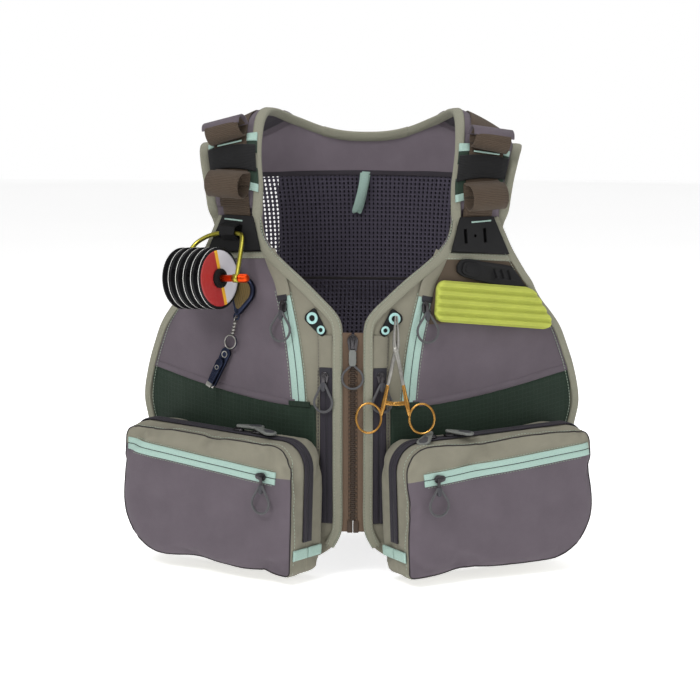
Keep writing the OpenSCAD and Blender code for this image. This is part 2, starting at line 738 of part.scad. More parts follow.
// Frame of the forceps: their tips at the larger eyelet of the left tab, the rings below and tipped forward
FORCEPS_AT = [41.5, -118, -186];
FORCEPS_TIP = 9;
module at_forceps() {
    translate(FORCEPS_AT) rotate([-FORCEPS_TIP, 0, 0]) children();
}

jaw_l = 32;
ring_r = 12.5;
ring_at = [25.5, -(forceps_l - jaw_l - 2 * ring_r - 6)];
// One arm: jaw up to the screw, shank and finger ring on side s, in a layer at y
module forceps_arm(s, y, hole) {
    reach = norm(ring_at) - ring_r;
    shank = atan2(ring_at[0], -ring_at[1]);
    translate([0, y, -jaw_l]) {
        color(METAL) rotate([0, s * 1.5, 0]) translate([-1.3, -1.2, 3]) cube([2.6, 2.4, jaw_l - 3]);
        color(GOLD) {
            rotate([90, 0, 0]) difference() {
                cylinder(r = 4, h = 2.4, center = true);
                if (hole) cylinder(r = 1.7, h = 4, center = true);
            }
            rotate([0, -s * shank, 0]) translate([-1.3, -1.1, -reach - 0.8]) cube([2.6, 2.2, reach - 2]);
            translate([s * ring_at[0], 0, ring_at[1]]) rotate([90, 0, 0]) rotate_extrude()
                translate([ring_r, 0]) circle(1.5);
        }
    }
}

// Arm with the screw
module forceps_ring_arm() {
    at_forceps() {
        forceps_arm(-1, 1.5, false);
        color(GOLD) translate([0, -0.6, -jaw_l]) rotate([90, 0, 0]) cylinder(r = 1.5, h = 4.4, center = true);
    }
}

module forceps_box_arm() {
    at_forceps() forceps_arm(1, -1.5, true);
}

// Ridged foam that holds flies
module foam_patch() {
    end = foam_l / 2;
    color(LIME) on_front(129.5, -181, trim_layer + trim_t + gap) rotate([0, 7, 0]) plate(7) hull() {
        translate([9 - end, 10.5]) circle(9);
        translate([9 - end, -11.5]) circle(9);
        translate([end - 31, 11]) circle(9);
        translate([end - 7.5, -13]) circle(7.5);
    }
}

// Moulded tab with three slits beside the foam
module magnet_tab() {
    color(BLACK) on_front(126, -151, trim_layer) rotate([0, 9, 0]) plate(2) difference() {
        polygon([[-36, 8], [-30, 11], [17, 9], [29, -2], [26, -8], [-34, -4], [-38, 0]]);
        for (x = [4, 11, 18]) translate([x, 0]) rotate(25) square([2, 7], center = true);
    }
}

// ---- nodes ----

back_panel();
back_yoke();
back_binding();
back_pocket();
net_ring_tab();
net_ring();
hang_loop();
shoulder_pad(-1);  // shoulder_pad_right
shoulder_pad(1);  // shoulder_pad_left
shoulder_webbing(-1);  // shoulder_webbing_right
shoulder_webbing(1);  // shoulder_webbing_left
shoulder_bands(-1);  // shoulder_bands_right
shoulder_bands(1);  // shoulder_bands_left
side_strap(-1);  // side_strap_right
side_strap(1);  // side_strap_left
front_panel(-1);  // front_panel_right
front_panel(1);  // front_panel_left
chest_cloth(-1);  // chest_cloth_right
chest_cloth(1);  // chest_cloth_left
ripstop(-1);  // ripstop_right
ripstop(1);  // ripstop_left
front_binding(-1);  // front_binding_right
front_binding(1);  // front_binding_left
dock_plate(-1);  // dock_plate_right
dock_plate(1);  // dock_plate_left
chest_zip(-1);  // chest_zip_right
chest_zip(1);  // chest_zip_left
inner_zip(-1);  // inner_zip_right
inner_zip(1);  // inner_zip_left
tool_tab(-1);  // tool_tab_right
tool_tab(1);  // tool_tab_left
pocket_back(-1);  // pocket_back_right
pocket_back(1);  // pocket_back_left
pocket_zip(-1);  // pocket_zip_right
pocket_zip(1);  // pocket_zip_left
pocket_cover(-1);  // pocket_cover_right
pocket_cover(1);  // pocket_cover_left
zip_chain(-1);  // zip_chain_right
zip_chain(1);  // zip_chain_left
front_slider();
front_slider_pull();
chest_slider(-1);  // chest_slider_right
chest_slider(1);  // chest_slider_left
inner_slider(-1);  // inner_slider_right
inner_slider(1);  // inner_slider_left
cover_slider(-1);  // cover_slider_right
cover_slider(1);  // cover_slider_left
pocket_slider_outer(-1);  // pocket_slider_outer_right
pocket_slider_outer(1);  // pocket_slider_outer_left
pocket_slider_inner(-1);  // pocket_slider_inner_right
pocket_slider_inner(1);  // pocket_slider_inner_left
tippet_bail();
tippet_spools();
retractor();
nippers();
nipper_lever();
forceps_ring_arm();
forceps_box_arm();
foam_patch();
magnet_tab();
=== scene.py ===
"""Looks of the fishing vest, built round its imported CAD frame. Lengths are millimetres until a mesh is made."""
import json
import math

import bpy
import numpy as np
from mathutils import Matrix, Vector, noise
from mathutils.bvhtree import BVHTree

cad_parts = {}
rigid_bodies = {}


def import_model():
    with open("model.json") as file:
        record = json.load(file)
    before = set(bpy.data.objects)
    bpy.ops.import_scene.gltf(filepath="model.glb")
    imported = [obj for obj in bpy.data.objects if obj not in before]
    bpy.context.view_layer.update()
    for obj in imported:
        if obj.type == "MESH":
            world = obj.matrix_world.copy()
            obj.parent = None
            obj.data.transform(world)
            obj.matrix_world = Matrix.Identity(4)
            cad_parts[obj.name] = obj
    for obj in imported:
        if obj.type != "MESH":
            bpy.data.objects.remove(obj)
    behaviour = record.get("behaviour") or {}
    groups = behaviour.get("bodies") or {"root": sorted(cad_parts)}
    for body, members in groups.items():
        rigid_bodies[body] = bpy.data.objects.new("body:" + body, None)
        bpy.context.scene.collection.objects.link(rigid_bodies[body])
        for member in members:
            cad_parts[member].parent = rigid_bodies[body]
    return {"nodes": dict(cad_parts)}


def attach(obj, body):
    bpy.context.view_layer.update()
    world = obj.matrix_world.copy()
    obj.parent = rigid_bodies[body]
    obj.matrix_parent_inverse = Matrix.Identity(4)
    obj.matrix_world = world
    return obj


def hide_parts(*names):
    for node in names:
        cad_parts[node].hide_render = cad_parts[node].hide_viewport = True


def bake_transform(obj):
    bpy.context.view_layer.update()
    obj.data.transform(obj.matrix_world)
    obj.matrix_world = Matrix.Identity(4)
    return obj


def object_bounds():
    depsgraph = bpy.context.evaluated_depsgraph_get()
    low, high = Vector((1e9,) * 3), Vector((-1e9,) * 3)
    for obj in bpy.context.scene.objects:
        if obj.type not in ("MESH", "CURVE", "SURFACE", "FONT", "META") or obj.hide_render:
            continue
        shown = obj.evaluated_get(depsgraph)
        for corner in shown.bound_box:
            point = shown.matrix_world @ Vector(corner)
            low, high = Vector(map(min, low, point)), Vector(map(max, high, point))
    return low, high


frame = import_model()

cad_box = [list(corner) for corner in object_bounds()]
MM = 0.001
SIDES = {"right": -1, "left": 1}

# ---- the vest's own sizes, as the CAD model has them ----

FRONT_DEPTH = 118
BACK_DEPTH = 100
ZIP_TOP = 204
ZIP_BOTTOM = 395
PANEL = 3
PAD_T = 8
LAYER = PANEL + 0.4
CLOTH = 1.2
TRIM = LAYER + CLOTH + 0.4
TRIM_T = 1.8
BINDING_W = 9
EDGE_W = 7.4
TAPE_W = 14
FRONT_ROWS = [(-96, 92, 134), (-112, 89.5, 141), (-127, 80, 147.5), (-139, 67, 154), (-151, 52, 161),
              (-161, 40.5, 167.5), (-171, 30, 172), (-181, 20.5, 178), (-191, 14.5, 185.5), (-204, 12.5, 194),
              (-218, 12.5, 200), (-250, 12.5, 210), (-282, 12.5, 215), (-310, 12.5, 210), (-350, 12.5, 205),
              (-386, 12.5, 202), (-400, 15, 190), (-412, 21, 165), (-421, 33, 120)]
CHEST_ROWS = [(-112, 90, 138.5), (-127, 81, 145), (-142, 76, 153.5), (-158, 74, 163.5), (-175, 71, 172.5),
              (-200, 66.5, 189.5), (-230, 61.5, 202), (-255, 57, 208.5), (-262, 56, 210)]
SEAM_IN = -273.5
SEAM_OUT = -249
CHEST_ZIP = [(69.5, -165), (65, -184), (59, -214), (55, -245), (52.8, -274)]
INNER_ZIP = [(25.5, -236), (25.5, -388)]
PAD_NECK = [(91, -67, -91), (91, -61, -66), (94, -48, -36), (93, -24, -8), (88, 8, 1), (79, 36, -2), (71, 54, -10)]
PAD_ARM = [(137, -44, -88), (141.5, -43, -63), (146, -32.5, -44), (148, -12, -34), (147, 8, -32), (143, 24, -38),
           (138, 32, -46)]
PAD_END = 5.6
BACK_ROWS = [(-64, 137), (-100, 131), (-150, 128), (-200, 133), (-245, 150), (-285, 174), (-310, 186), (-398, 197)]
TAB_AT = (33.6, -194.4)
EYELETS = [(4.8, 5, 3, 5.8), (-4.6, -5.9, 2.1, 4.2)]
POCKET_AT = (43.6, -147.7, -433)
POCKET_YAW = 31
POCKET_TILT = 2
POCKET_W = 206
POCKET_H = 128
POCKET_D = 52
POCKET_ZIP_END = 32
FACE_ZIP_AT = (16, 32)
FACE_ZIP_RISE = 3


def clip(x, a, b):
    return max(a, min(b, x))


def mix(a, b, t):
    return a + (b - a) * t


def ease(t):
    t = clip(t, 0, 1)
    return t * t * (3 - 2 * t)


def along(points, u):
    """Point at u on the smooth curve through points."""
    i = int(clip(math.floor(u), 0, len(points) - 2))
    t = u - i
    a, b, c, d = (np.array(points[int(clip(k, 0, len(points) - 1))], float) for k in (i - 1, i, i + 1, i + 2))
    return 0.5 * (2 * b + (c - a) * t + (2 * a - 5 * b + 4 * c - d) * t * t + (3 * b - a - 3 * c + d) * t * t * t)


def smooth(points, steps):
    return [along(points, k * (len(points) - 1) / steps) for k in range(steps + 1)]


def wedge(x, slope, bend):
    return slope * (math.sqrt(x * x + bend * bend) - bend)


def front_y(x, z):
    return -(FRONT_DEPTH - 42 * max(0, (z + 250) / 250) ** 2) + wedge(x, 0.7, 60)


def back_y(x, z):
    return BACK_DEPTH - 30 * max(0, (z + 120) / 120) ** 2 - wedge(x, 0.75, 110)


def unit(v):
    return np.array(v, float) / max(1e-9, np.linalg.norm(v))


def swell(x, z, seed):
    """How far the front cloth stands off its plain surface: soft ripples, and a little fullness low on the chest."""
    ripple = noise.noise((x * 0.022, z * 0.013, seed)) * 1.3 + noise.noise((x * 0.05, z * 0.03, seed + 9)) * 0.5
    low = math.exp(-((z + 240) / 26) ** 2) * math.exp(-((x - 125) / 52) ** 2)
    inner = ease((x - 44) / 40)
    return ripple * inner + 4.5 * low


def front(x, z, d, seed=3.0):
    """Point d in front of the front cloth."""
    return np.array([x, front_y(x, z) - d - swell(x, z, seed), z])


def on_front(x, z, d=0.0):
    """Frame on the front surface: X along the cloth, -Y out of it, as the CAD model's."""
    e = 0.5
    p = np.array([x, front_y(x, z), z])
    tx = unit(np.array([x + e, front_y(x + e, z), z]) - p)
    tz = np.array([x, front_y(x, z + e), z + e]) - p
    tz = unit(tz - tz.dot(tx) * tx)
    ny = np.cross(tz, tx)
    return frame_of(tx, ny, tz, p - d * ny)


def frame_of(x, y, z, at):
    return Matrix([[x[i], y[i], z[i], at[i]] for i in range(3)] + [[0, 0, 0, 1]])


def turn(axis, degrees):
    return Matrix.Rotation(math.radians(degrees), 4, axis)


def shift(x, y, z):
    return Matrix.Translation((x, y, z))


def mirror(side):
    return Matrix.Diagonal((side, 1, 1, 1))


def pad_point(s, u):
    return mix(along(PAD_NECK, s), along(PAD_ARM, s), u) + np.array([0, 0, 3 * math.sin(math.pi * u)])


def pad_normal(s, u):
    e = 0.02
    return unit(np.cross(pad_point(s, u + e) - pad_point(s, u - e), pad_point(s + e, u) - pad_point(s - e, u)))


def on_pad(s, u, d):
    """Frame on a pad: X from neck edge to arm edge, Z towards the crest, -Y out of the pad."""
    n = pad_normal(s, u)
    x = unit(pad_point(s, u + 0.02) - pad_point(s, u - 0.02))
    return frame_of(x, -n, np.cross(x, -n), pad_point(s, u) + d * n)


def yoke_top(x):
    return -22.5 + 17 * (abs(x) / 66) ** 2.4 if abs(x) < 66 else -5.5 - 0.5 * (abs(x) - 66)


def in_pocket(side):
    return mirror(side) @ shift(*POCKET_AT) @ turn("Z", POCKET_YAW) @ turn("Y", -POCKET_TILT)


# ---- meshes ----

def make(name, verts, faces, mats, body=None, at=None, lay=None, which=None, shade=True):
    """A mesh object from points in millimetres, placed by the matrix at. lay holds each point's place on its
    cloth, which picks each face's material."""
    at = at or Matrix.Identity(4)
    m = np.array(at)
    co = (np.array(verts, float).reshape(-1, 3) @ m[:3, :3].T + m[:3, 3]) * MM
    if np.linalg.det(m[:3, :3]) < 0:
        faces = [tuple(reversed(f)) for f in faces]
    mesh = bpy.data.meshes.new(name)
    mesh.from_pydata(co.tolist(), [], faces)
    for mat in mats if isinstance(mats, (list, tuple)) else [mats]:
        mesh.materials.append(mat)
    if which is not None:
        mesh.polygons.foreach_set("material_index", which)
    if shade:
        mesh.shade_smooth()
    if lay is not None:
        attribute = mesh.attributes.new("lay", "FLOAT_VECTOR", "POINT")
        flat = np.array(lay, np.float32).reshape(-1, len(lay[0]))
        if flat.shape[1] == 2:
            flat = np.hstack([flat, np.zeros((len(flat), 1), np.float32)])
        attribute.data.foreach_set("vector", (flat * MM).ravel())
    mesh.update()
    obj = bpy.data.objects.new(name, mesh)
    bpy.context.scene.collection.objects.link(obj)
    if body:
        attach(obj, body)
    return obj


def add_modifier(obj, kind, **settings):
    mod = obj.modifiers.new(kind.title(), kind)
    for key, value in settings.items():
        setattr(mod, key, value)
    return mod


def apply_all(obj):
    """Turns the object's modifiers into its mesh."""
    graph = bpy.context.evaluated_depsgraph_get()
    mesh = bpy.data.meshes.new_from_object(obj.evaluated_get(graph), depsgraph=graph)
    obj.modifiers.clear()
    obj.data = mesh
    return obj


def soften(obj, levels=1):
    add_modifier(obj, "SUBSURF", levels=levels, render_levels=levels)
    return apply_all(obj)


def round_edges(obj, width, segments=2, angle=40):
    add_modifier(obj, "BEVEL", width=width * MM, segments=segments, limit_method="ANGLE",
                 angle_limit=math.radians(angle))
    return apply_all(obj)


def grid_shell(outer, inner):
    """Points and faces of a closed sheet between two grids of points; the first is the outer skin."""
    n, m = len(outer), len(outer[0])
    verts = [p for row in outer for p in row] + [p for row in inner for p in row]

    def at(s, i, j):
        return (s * n + i) * m + j
    faces = []
    for i in range(n - 1):
        for j in range(m - 1):
            faces.append((at(0, i, j), at(0, i + 1, j), at(0, i + 1, j + 1), at(0, i, j + 1)))
    for i in range(n - 1):
        for j in range(m - 1):
            faces.append((at(1, i, j), at(1, i, j + 1), at(1, i + 1, j + 1), at(1, i + 1, j)))
    for i in range(n - 1):
        faces.append((at(0, i, 0), at(1, i, 0), at(1, i + 1, 0), at(0, i + 1, 0)))
        faces.append((at(0, i, m - 1), at(0, i + 1, m - 1), at(1, i + 1, m - 1), at(1, i, m - 1)))
    for j in range(m - 1):
        faces.append((at(0, 0, j), at(0, 0, j + 1), at(1, 0, j + 1), at(1, 0, j)))
        faces.append((at(0, n - 1, j), at(1, n - 1, j), at(1, n - 1, j + 1), at(0, n - 1, j + 1)))
    return verts, faces


def grid_lay(grid):
    """Each point's distance across and down the cloth, from the points of one skin."""
    g = np.array(grid, float)
    step = np.linalg.norm(np.diff(g, axis=1), axis=2)
    across = np.concatenate([np.zeros((len(g), 1)), np.cumsum(step, axis=1)], axis=1) + g[:, :1, 0]
    middle = g[:, g.shape[1] // 2]
    fall = np.concatenate([[0], np.cumsum(np.linalg.norm(np.diff(middle, axis=0), axis=1))])
    down = np.repeat(fall[:, None], g.shape[1], axis=1)
    return np.stack([across, down], axis=2).reshape(-1, 2).tolist()


def sheet_piece(name, outer, inner, mats, body, at=None, lining=0):
    """Closed cloth between two grids; its inner skin takes the material numbered lining."""
    verts, faces = grid_shell(outer, inner)
    lay = grid_lay(outer)
    quads = (len(outer) - 1) * (len(outer[0]) - 1)
    which = [0] * quads + [lining] * quads + [0] * (len(faces) - 2 * quads)
    return make(name, verts, faces, mats, body, at, lay + lay, which)


def directions(points, closed=False):
    p = np.array(points, float)
    if closed:
        return np.array([unit(v) for v in np.roll(p, -1, 0) - np.roll(p, 1, 0)])
    ends = np.vstack([p[1:], p[-1:]]) - np.vstack([p[:1], p[:-1]])
    return np.array([unit(v) for v in ends])


def resample(points, step, closed=False):
    """Points of a path at equal steps."""
    p = np.array(points, float)
    if closed:
        p = np.vstack([p, p[:1]])
    run = np.concatenate([[0], np.cumsum(np.linalg.norm(np.diff(p, axis=0), axis=1))])
    count = max(2, int(round(run[-1] / step)))
    t = np.linspace(0, run[-1], count + 1)
    out = np.stack([np.interp(t, run, p[:, k]) for k in range(3)], axis=1)
    return out[:-1] if closed else out


def sweep(name, points, normals, profile, mats, body=None, at=None, closed=False, shade=True):
    """A closed profile, points of across and out, swept along a path whose normals point out of the cloth."""
    p, n = np.array(points, float), np.array(normals, float)
    t = directions(p, closed)
    n = np.array([unit(b - a * a.dot(b)) for a, b in zip(t, n)])
    side = np.cross(t, n)
    k = len(profile)
    verts = [p[i] + side[i] * a + n[i] * b for i in range(len(p)) for a, b in profile]
    run = np.concatenate([[0], np.cumsum(np.linalg.norm(np.diff(p, axis=0), axis=1))])
    girth = np.concatenate([[0], np.cumsum(np.linalg.norm(np.diff(np.array(profile), axis=0), axis=1))])
    lay = [(girth[j], run[i]) for i in range(len(p)) for j in range(k)]
    rings = len(p) if closed else len(p) - 1
    faces = [((i * k + j), (i * k + (j + 1) % k), ((i + 1) % len(p)) * k + (j + 1) % k, ((i + 1) % len(p)) * k + j)
             for i in range(rings) for j in range(k)]
    if not closed:
        faces += [tuple(reversed(range(k))), tuple((len(p) - 1) * k + j for j in range(k))]
    return make(name, verts, faces, mats, body, at, lay, shade=shade)


def oval(w, h, sides=12):
    """Closed profile: an ellipse w wide and h high round the path."""
    return [(w / 2 * math.cos(2 * math.pi * i / sides), h / 2 * math.sin(2 * math.pi * i / sides))
            for i in range(sides)]


def flat_tape(w, low, high):
    """Closed profile of a tape with soft edges, from low to high above the path."""
    e = min(0.35, (high - low) / 2)
    return [(-w / 2, low), (w / 2, low), (w / 2 + 0.15, (low + high) / 2), (w / 2 - e, high), (w * 0.2, high + 0.05),
            (-w * 0.2, high + 0.05), (-w / 2 + e, high), (-w / 2 - 0.15, (low + high) / 2)]


def front_path(xz, d, steps, seed=3.0):
    """Path along the front cloth and its outward normals."""
    flat = smooth(xz, steps)
    points = [front(x, z, d, seed) for x, z in flat]
    e = 1.0
    normals = []
    for x, z in flat:
        a = front(x + e, z, d, seed) - front(x - e, z, d, seed)
        b = front(x, z + e, d, seed) - front(x, z - e, d, seed)
        normals.append(unit(np.cross(a, b)))
    return points, normals


def stitches(name, points, normals, mat, body, at=None, pitch=3.4, size=0.55, closed=False, lift=0.1):
    """A row of thread dashes along a path."""
    p = np.array(points, float)
    n = np.array(normals, float)
    run = np.concatenate([[0], np.cumsum(np.linalg.norm(np.diff(p, axis=0), axis=1))])

    def spot(values, s):
        return np.array([np.interp(s, run, values[:, k]) for k in range(3)])
    verts, faces = [], []
    for i in range(int(run[-1] / pitch)):
        s0 = i * pitch + pitch * 0.14
        s1 = s0 + pitch * 0.72
        a, b = spot(p, s0), spot(p, s1)
        up = unit(spot(n, (s0 + s1) / 2))
        side = unit(np.cross(b - a, up)) * size / 2
        base = len(verts)
        for end, high in ((a, 0), (mix(a, b, 0.25), 0.42), (mix(a, b, 0.75), 0.42), (b, 0)):
            verts += [end - side - up * 0.2, end + side - up * 0.2, end + side * 0.5 + up * (high + lift),
                      end - side * 0.5 + up * (high + lift)]
        faces.append((base, base + 1, base + 2, base + 3))
        for k in range(3):
            r, q = base + 4 * k, base + 4 * k + 4
            faces += [(r, q, q + 1, r + 1), (r + 1, q + 1, q + 2, r + 2), (r + 2, q + 2, q + 3, r + 3),
                      (r + 3, q + 3, q, r)]
        faces.append((base + 15, base + 14, base + 13, base + 12))
    return make(name, verts, faces, mat, body, at)


def join(name, objs, body):
    """One object from several."""
    for o in bpy.context.view_layer.objects.selected:
        o.select_set(False)
    for o in objs:
        o.select_set(True)
    bpy.context.view_layer.objects.active = objs[0]
    bpy.ops.object.join()
    objs[0].name = name
    objs[0].data.name = name
    objs[0].parent = None
    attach(objs[0], body)
    return objs[0]


def inflate(obj, pinned, pressure, cap, grow=0.0, frames=20, stiff=12):
    """Cloth simulation: pressure fills the piece, the pinned points stay, and no point moves over cap."""
    scene = bpy.context.scene
    count = len(obj.data.vertices)
    rest = np.zeros(count * 3, np.float32)
    obj.data.vertices.foreach_get("co", rest)
    group = obj.vertex_groups.new(name="pinned")
    group.add(list(pinned), 1.0, "REPLACE")
    mod = obj.modifiers.new("Cloth", "CLOTH")
    s = mod.settings
    s.vertex_group_mass = "pinned"
    s.use_pressure = True
    s.uniform_pressure_force = pressure
    s.effector_weights.gravity = 0
    s.quality = 6
    s.mass = 0.3
    s.tension_stiffness = s.compression_stiffness = s.shear_stiffness = stiff
    s.bending_stiffness = 0.4
    s.air_damping = 3
    s.shrink_min = -grow
    mod.point_cache.frame_start = 1
    mod.point_cache.frame_end = frames
    for f in range(1, frames + 1):
        scene.frame_set(f)
    graph = bpy.context.evaluated_depsgraph_get()
    moved = np.zeros(count * 3, np.float32)
    obj.evaluated_get(graph).data.vertices.foreach_get("co", moved)
    scene.frame_set(1)
    obj.modifiers.remove(mod)
    obj.vertex_groups.remove(group)
    step = (moved - rest).reshape(-1, 3)
    size = np.linalg.norm(step, axis=1, keepdims=True)
    step *= np.minimum(1, cap * MM / np.maximum(size, 1e-9))
    obj.data.vertices.foreach_set("co", (rest.reshape(-1, 3) + step).ravel())
    obj.data.update()
    return obj


# ---- materials ----

def rgb(r, g, b):
    """Linear colour from display values of 0 to 255."""
    return tuple(((c / 255) / 12.92 if c <= 10 else ((c / 255 + 0.055) / 1.055) ** 2.4) for c in (r, g, b)) + (1,)


class Nodes:
    """Short names for making a material's nodes."""

    def __init__(self, name):
        self.mat = bpy.data.materials.new(name)
        self.mat.use_nodes = True
        self.tree = self.mat.node_tree
        self.shader = self.tree.nodes["Principled BSDF"]

    def add(self, kind, inputs=(), **settings):
        node = self.tree.nodes.new(kind)
        for key, value in settings.items():
            setattr(node, key, value)
        for key, value in dict(inputs).items():
            if isinstance(value, bpy.types.NodeSocket):
                self.tree.links.new(value, node.inputs[key])
            else:
                node.inputs[key].default_value = value
        return node

    def link(self, a, b):
        self.tree.links.new(a, b)

    def place(self, use_lay):
        if use_lay:
            return self.add("ShaderNodeAttribute", attribute_name="lay").outputs["Vector"]
        return self.add("ShaderNodeTexCoord").outputs["Object"]

    def noise(self, where, scale, detail=3.0, rough=0.5):
        return self.add("ShaderNodeTexNoise", {"Vector": where, "Scale": scale, "Detail": detail,
                                               "Roughness": rough}).outputs["Fac"]

    def math(self, op, a, b=0.0):
        return self.add("ShaderNodeMath", {0: a, 1: b}, operation=op).outputs[0]

    def ramp(self, fac, stops):
        node = self.add("ShaderNodeValToRGB", {"Fac": fac})
        while len(node.color_ramp.elements) < len(stops):
            node.color_ramp.elements.new(0.5)
        for element, (at, colour) in zip(node.color_ramp.elements, stops):
            element.position = at
            element.color = colour
        return node.outputs["Color"]

    def wave(self, where, pitch, axis, shape="SIN", distort=0.0):
        """Bands across an axis, one for each pitch in millimetres."""
        return self.add("ShaderNodeTexWave", {"Vector": where, "Scale": math.pi / 10 / (pitch * MM),
                                              "Distortion": distort}, wave_type="BANDS", bands_direction=axis,
                        wave_profile=shape).outputs["Fac"]

    def bump(self, height, distance, strength=1.0, normal=None):
        inputs = {"Height": height, "Distance": distance * MM, "Strength": strength}
        if normal is not None:
            inputs["Normal"] = normal
        return self.add("ShaderNodeBump", inputs).outputs["Normal"]


def tint(colour, k):
    return tuple(clip(c * k, 0, 1) for c in colour[:3]) + (1,)


def fabric(name, colour, thread=0.7, relief=0.14, vary=0.10, heather=0.10, rough=0.86, sheen=0.08, lay=True,
           grid=0.0, edge=0.35):
    """Woven cloth: crossing threads, heathered colour, soft large-scale variation and paler sharp edges."""
    n = Nodes(name)
    where = n.place(lay)
    warp = n.wave(where, thread, "X")
    weft = n.wave(where, thread, "Y")
    weave = n.math("MULTIPLY", warp, weft)
    broad = n.noise(where, 26, 4, 0.6)
    fine = n.noise(where, 1500, 2, 0.7)
    tone = n.math("ADD", n.math("MULTIPLY", broad, 1 - heather * 4), n.math("MULTIPLY", fine, heather * 4))
    base = n.ramp(tone, [(0.25, tint(colour, 1 - vary - heather)), (0.75, tint(colour, 1 + vary + heather))])
    if grid:
        lines = n.math("MAXIMUM", n.math("GREATER_THAN", n.wave(where, grid, "X"), 0.93),
                       n.math("GREATER_THAN", n.wave(where, grid, "Y"), 0.93))
        base = n.add("ShaderNodeMix", {"Factor": n.math("MULTIPLY", lines, 0.45), "A": base,
                                       "B": tint(colour, 1.45)}, data_type="RGBA").outputs["Result"]
        weave = n.math("ADD", weave, n.math("MULTIPLY", lines, 1.5))
    # Sharp convex edges, found by pointiness, are made paler.
    crest = n.add("ShaderNodeNewGeometry").outputs["Pointiness"]
    pale_edges = n.ramp(crest, [(0.49, (0, 0, 0, 1)), (0.56, (1, 1, 1, 1))])
    base = n.add("ShaderNodeMix", {"Factor": n.math("MULTIPLY", pale_edges, edge), "A": base, "B": tint(colour, 1.5)},
                 data_type="RGBA").outputs["Result"]
    n.link(base, n.shader.inputs["Base Color"])
    n.link(n.ramp(fine, [(0.2, (rough - 0.1,) * 3 + (1,)), (0.8, (rough + 0.08,) * 3 + (1,))]),
           n.shader.inputs["Roughness"])
    crumple = n.bump(n.noise(where, 90, 5, 0.6), 0.7, 0.5)
    n.link(n.bump(weave, relief, 0.9, crumple), n.shader.inputs["Normal"])
    n.shader.inputs["Sheen Weight"].default_value = sheen
    n.shader.inputs["Sheen Roughness"].default_value = 0.5
    n.shader.inputs["Specular IOR Level"].default_value = 0.15
    return n.mat


def ribbed(name, colour, pitch=1.6, relief=0.35, cross=0.8, rough=0.75, lay=True, axis="Y"):
    """Tape or webbing with ribs across it and a fine weave."""
    n = Nodes(name)
    where = n.place(lay)
    ribs = n.wave(where, pitch, axis)
    other = n.wave(where, cross, "X" if axis == "Y" else "Y")
    height = n.math("ADD", ribs, n.math("MULTIPLY", other, 0.4))
    tone = n.math("ADD", n.math("MULTIPLY", n.noise(where, 900, 3), 0.6), n.math("MULTIPLY", ribs, 0.4))
    n.link(n.ramp(tone, [(0.15, tint(colour, 0.72)), (0.85, tint(colour, 1.22))]), n.shader.inputs["Base Color"])
    n.link(n.ramp(n.noise(where, 60), [(0.2, (rough - 0.08,) * 3 + (1,)), (0.8, (rough + 0.1,) * 3 + (1,))]),
           n.shader.inputs["Roughness"])
    n.link(n.bump(height, relief, 0.9), n.shader.inputs["Normal"])
    n.shader.inputs["Sheen Weight"].default_value = 0.05
    n.shader.inputs["Specular IOR Level"].default_value = 0.2
    return n.mat


def moulded(name, colour, rough=0.45, grain=0.05, vary=0.08):
    """Moulded plastic or rubber: fine grain, faint scuffs and paler edges."""
    n = Nodes(name)
    where = n.place(False)
    fine = n.noise(where, 1800, 3)
    broad = n.noise(where, 45, 4, 0.7)
    # Sharp convex edges, found by pointiness, are made paler.
    crest = n.add("ShaderNodeNewGeometry").outputs["Pointiness"]
    pale_edges = n.ramp(crest, [(0.5, (0, 0, 0, 1)), (0.6, (1, 1, 1, 1))])
    base = n.ramp(broad, [(0.3, tint(colour, 1 - vary)), (0.7, tint(colour, 1 + vary))])
    base = n.add("ShaderNodeMix", {"Factor": n.math("MULTIPLY", pale_edges, 0.5), "A": base, "B": tint(colour, 1.6)},
                 data_type="RGBA").outputs["Result"]
    n.link(base, n.shader.inputs["Base Color"])
    n.link(n.ramp(broad, [(0.2, (rough - 0.08,) * 3 + (1,)), (0.8, (rough + 0.12,) * 3 + (1,))]),
           n.shader.inputs["Roughness"])
    n.link(n.bump(fine, grain, 0.6), n.shader.inputs["Normal"])
    n.shader.inputs["Specular IOR Level"].default_value = 0.22
    return n.mat


def metal(name, colour, rough=0.25, brush=0.03, vary=0.1, tarnish=None):
    """Metal with brushed grain, faint smears and darker patches at random."""
    n = Nodes(name)
    where = n.place(False)
    broad = n.noise(where, 70, 5, 0.65)
    stretch = n.add("ShaderNodeMapping", {"Vector": where, "Scale": (3000, 3000, 160)}).outputs["Vector"]
    lines = n.noise(stretch, 1.0, 2)
    base = n.ramp(broad, [(0.3, tarnish or tint(colour, 1 - vary)), (0.7, tint(colour, 1 + vary))])
    n.link(base, n.shader.inputs["Base Color"])
    n.link(n.ramp(broad, [(0.2, (rough + 0.15,) * 3 + (1,)), (0.8, (max(0.05, rough - 0.05),) * 3 + (1,))]),
           n.shader.inputs["Roughness"])
    n.link(n.bump(lines, brush, 0.5), n.shader.inputs["Normal"])
    n.shader.inputs["Metallic"].default_value = 1.0
    return n.mat


PLUM_C = rgb(93, 85, 92)
TAUPE_C = rgb(126, 123, 109)
MINT_C = rgb(160, 187, 177)
GREEN_C = rgb(29, 43, 33)
PLUM = fabric("plum_canvas", PLUM_C, 0.8, 0.10)
YOKE = fabric("yoke_canvas", rgb(112, 103, 111), 0.8, 0.10)
TAUPE = fabric("taupe_cloth", TAUPE_C, 0.9, 0.12)
BINDING = ribbed("taupe_binding", rgb(134, 133, 118), 1.1, 0.14, 0.9, 0.85)
LINING = fabric("dark_lining", rgb(58, 54, 60), 0.8, 0.1, edge=0.1)
RIPSTOP = fabric("ripstop", GREEN_C, 0.5, 0.08, vary=0.15, heather=0.06, rough=0.6, grid=4.5)
BROWN = fabric("brown_cloth", rgb(84, 73, 62), 0.7, 0.1, heather=0.16)
MINT = ribbed("mint_tape", MINT_C, 0.9, 0.10, 0.9, 0.8)
SLATE = ribbed("slate_tape", rgb(47, 44, 51), 0.9, 0.12, 0.9, 0.7)
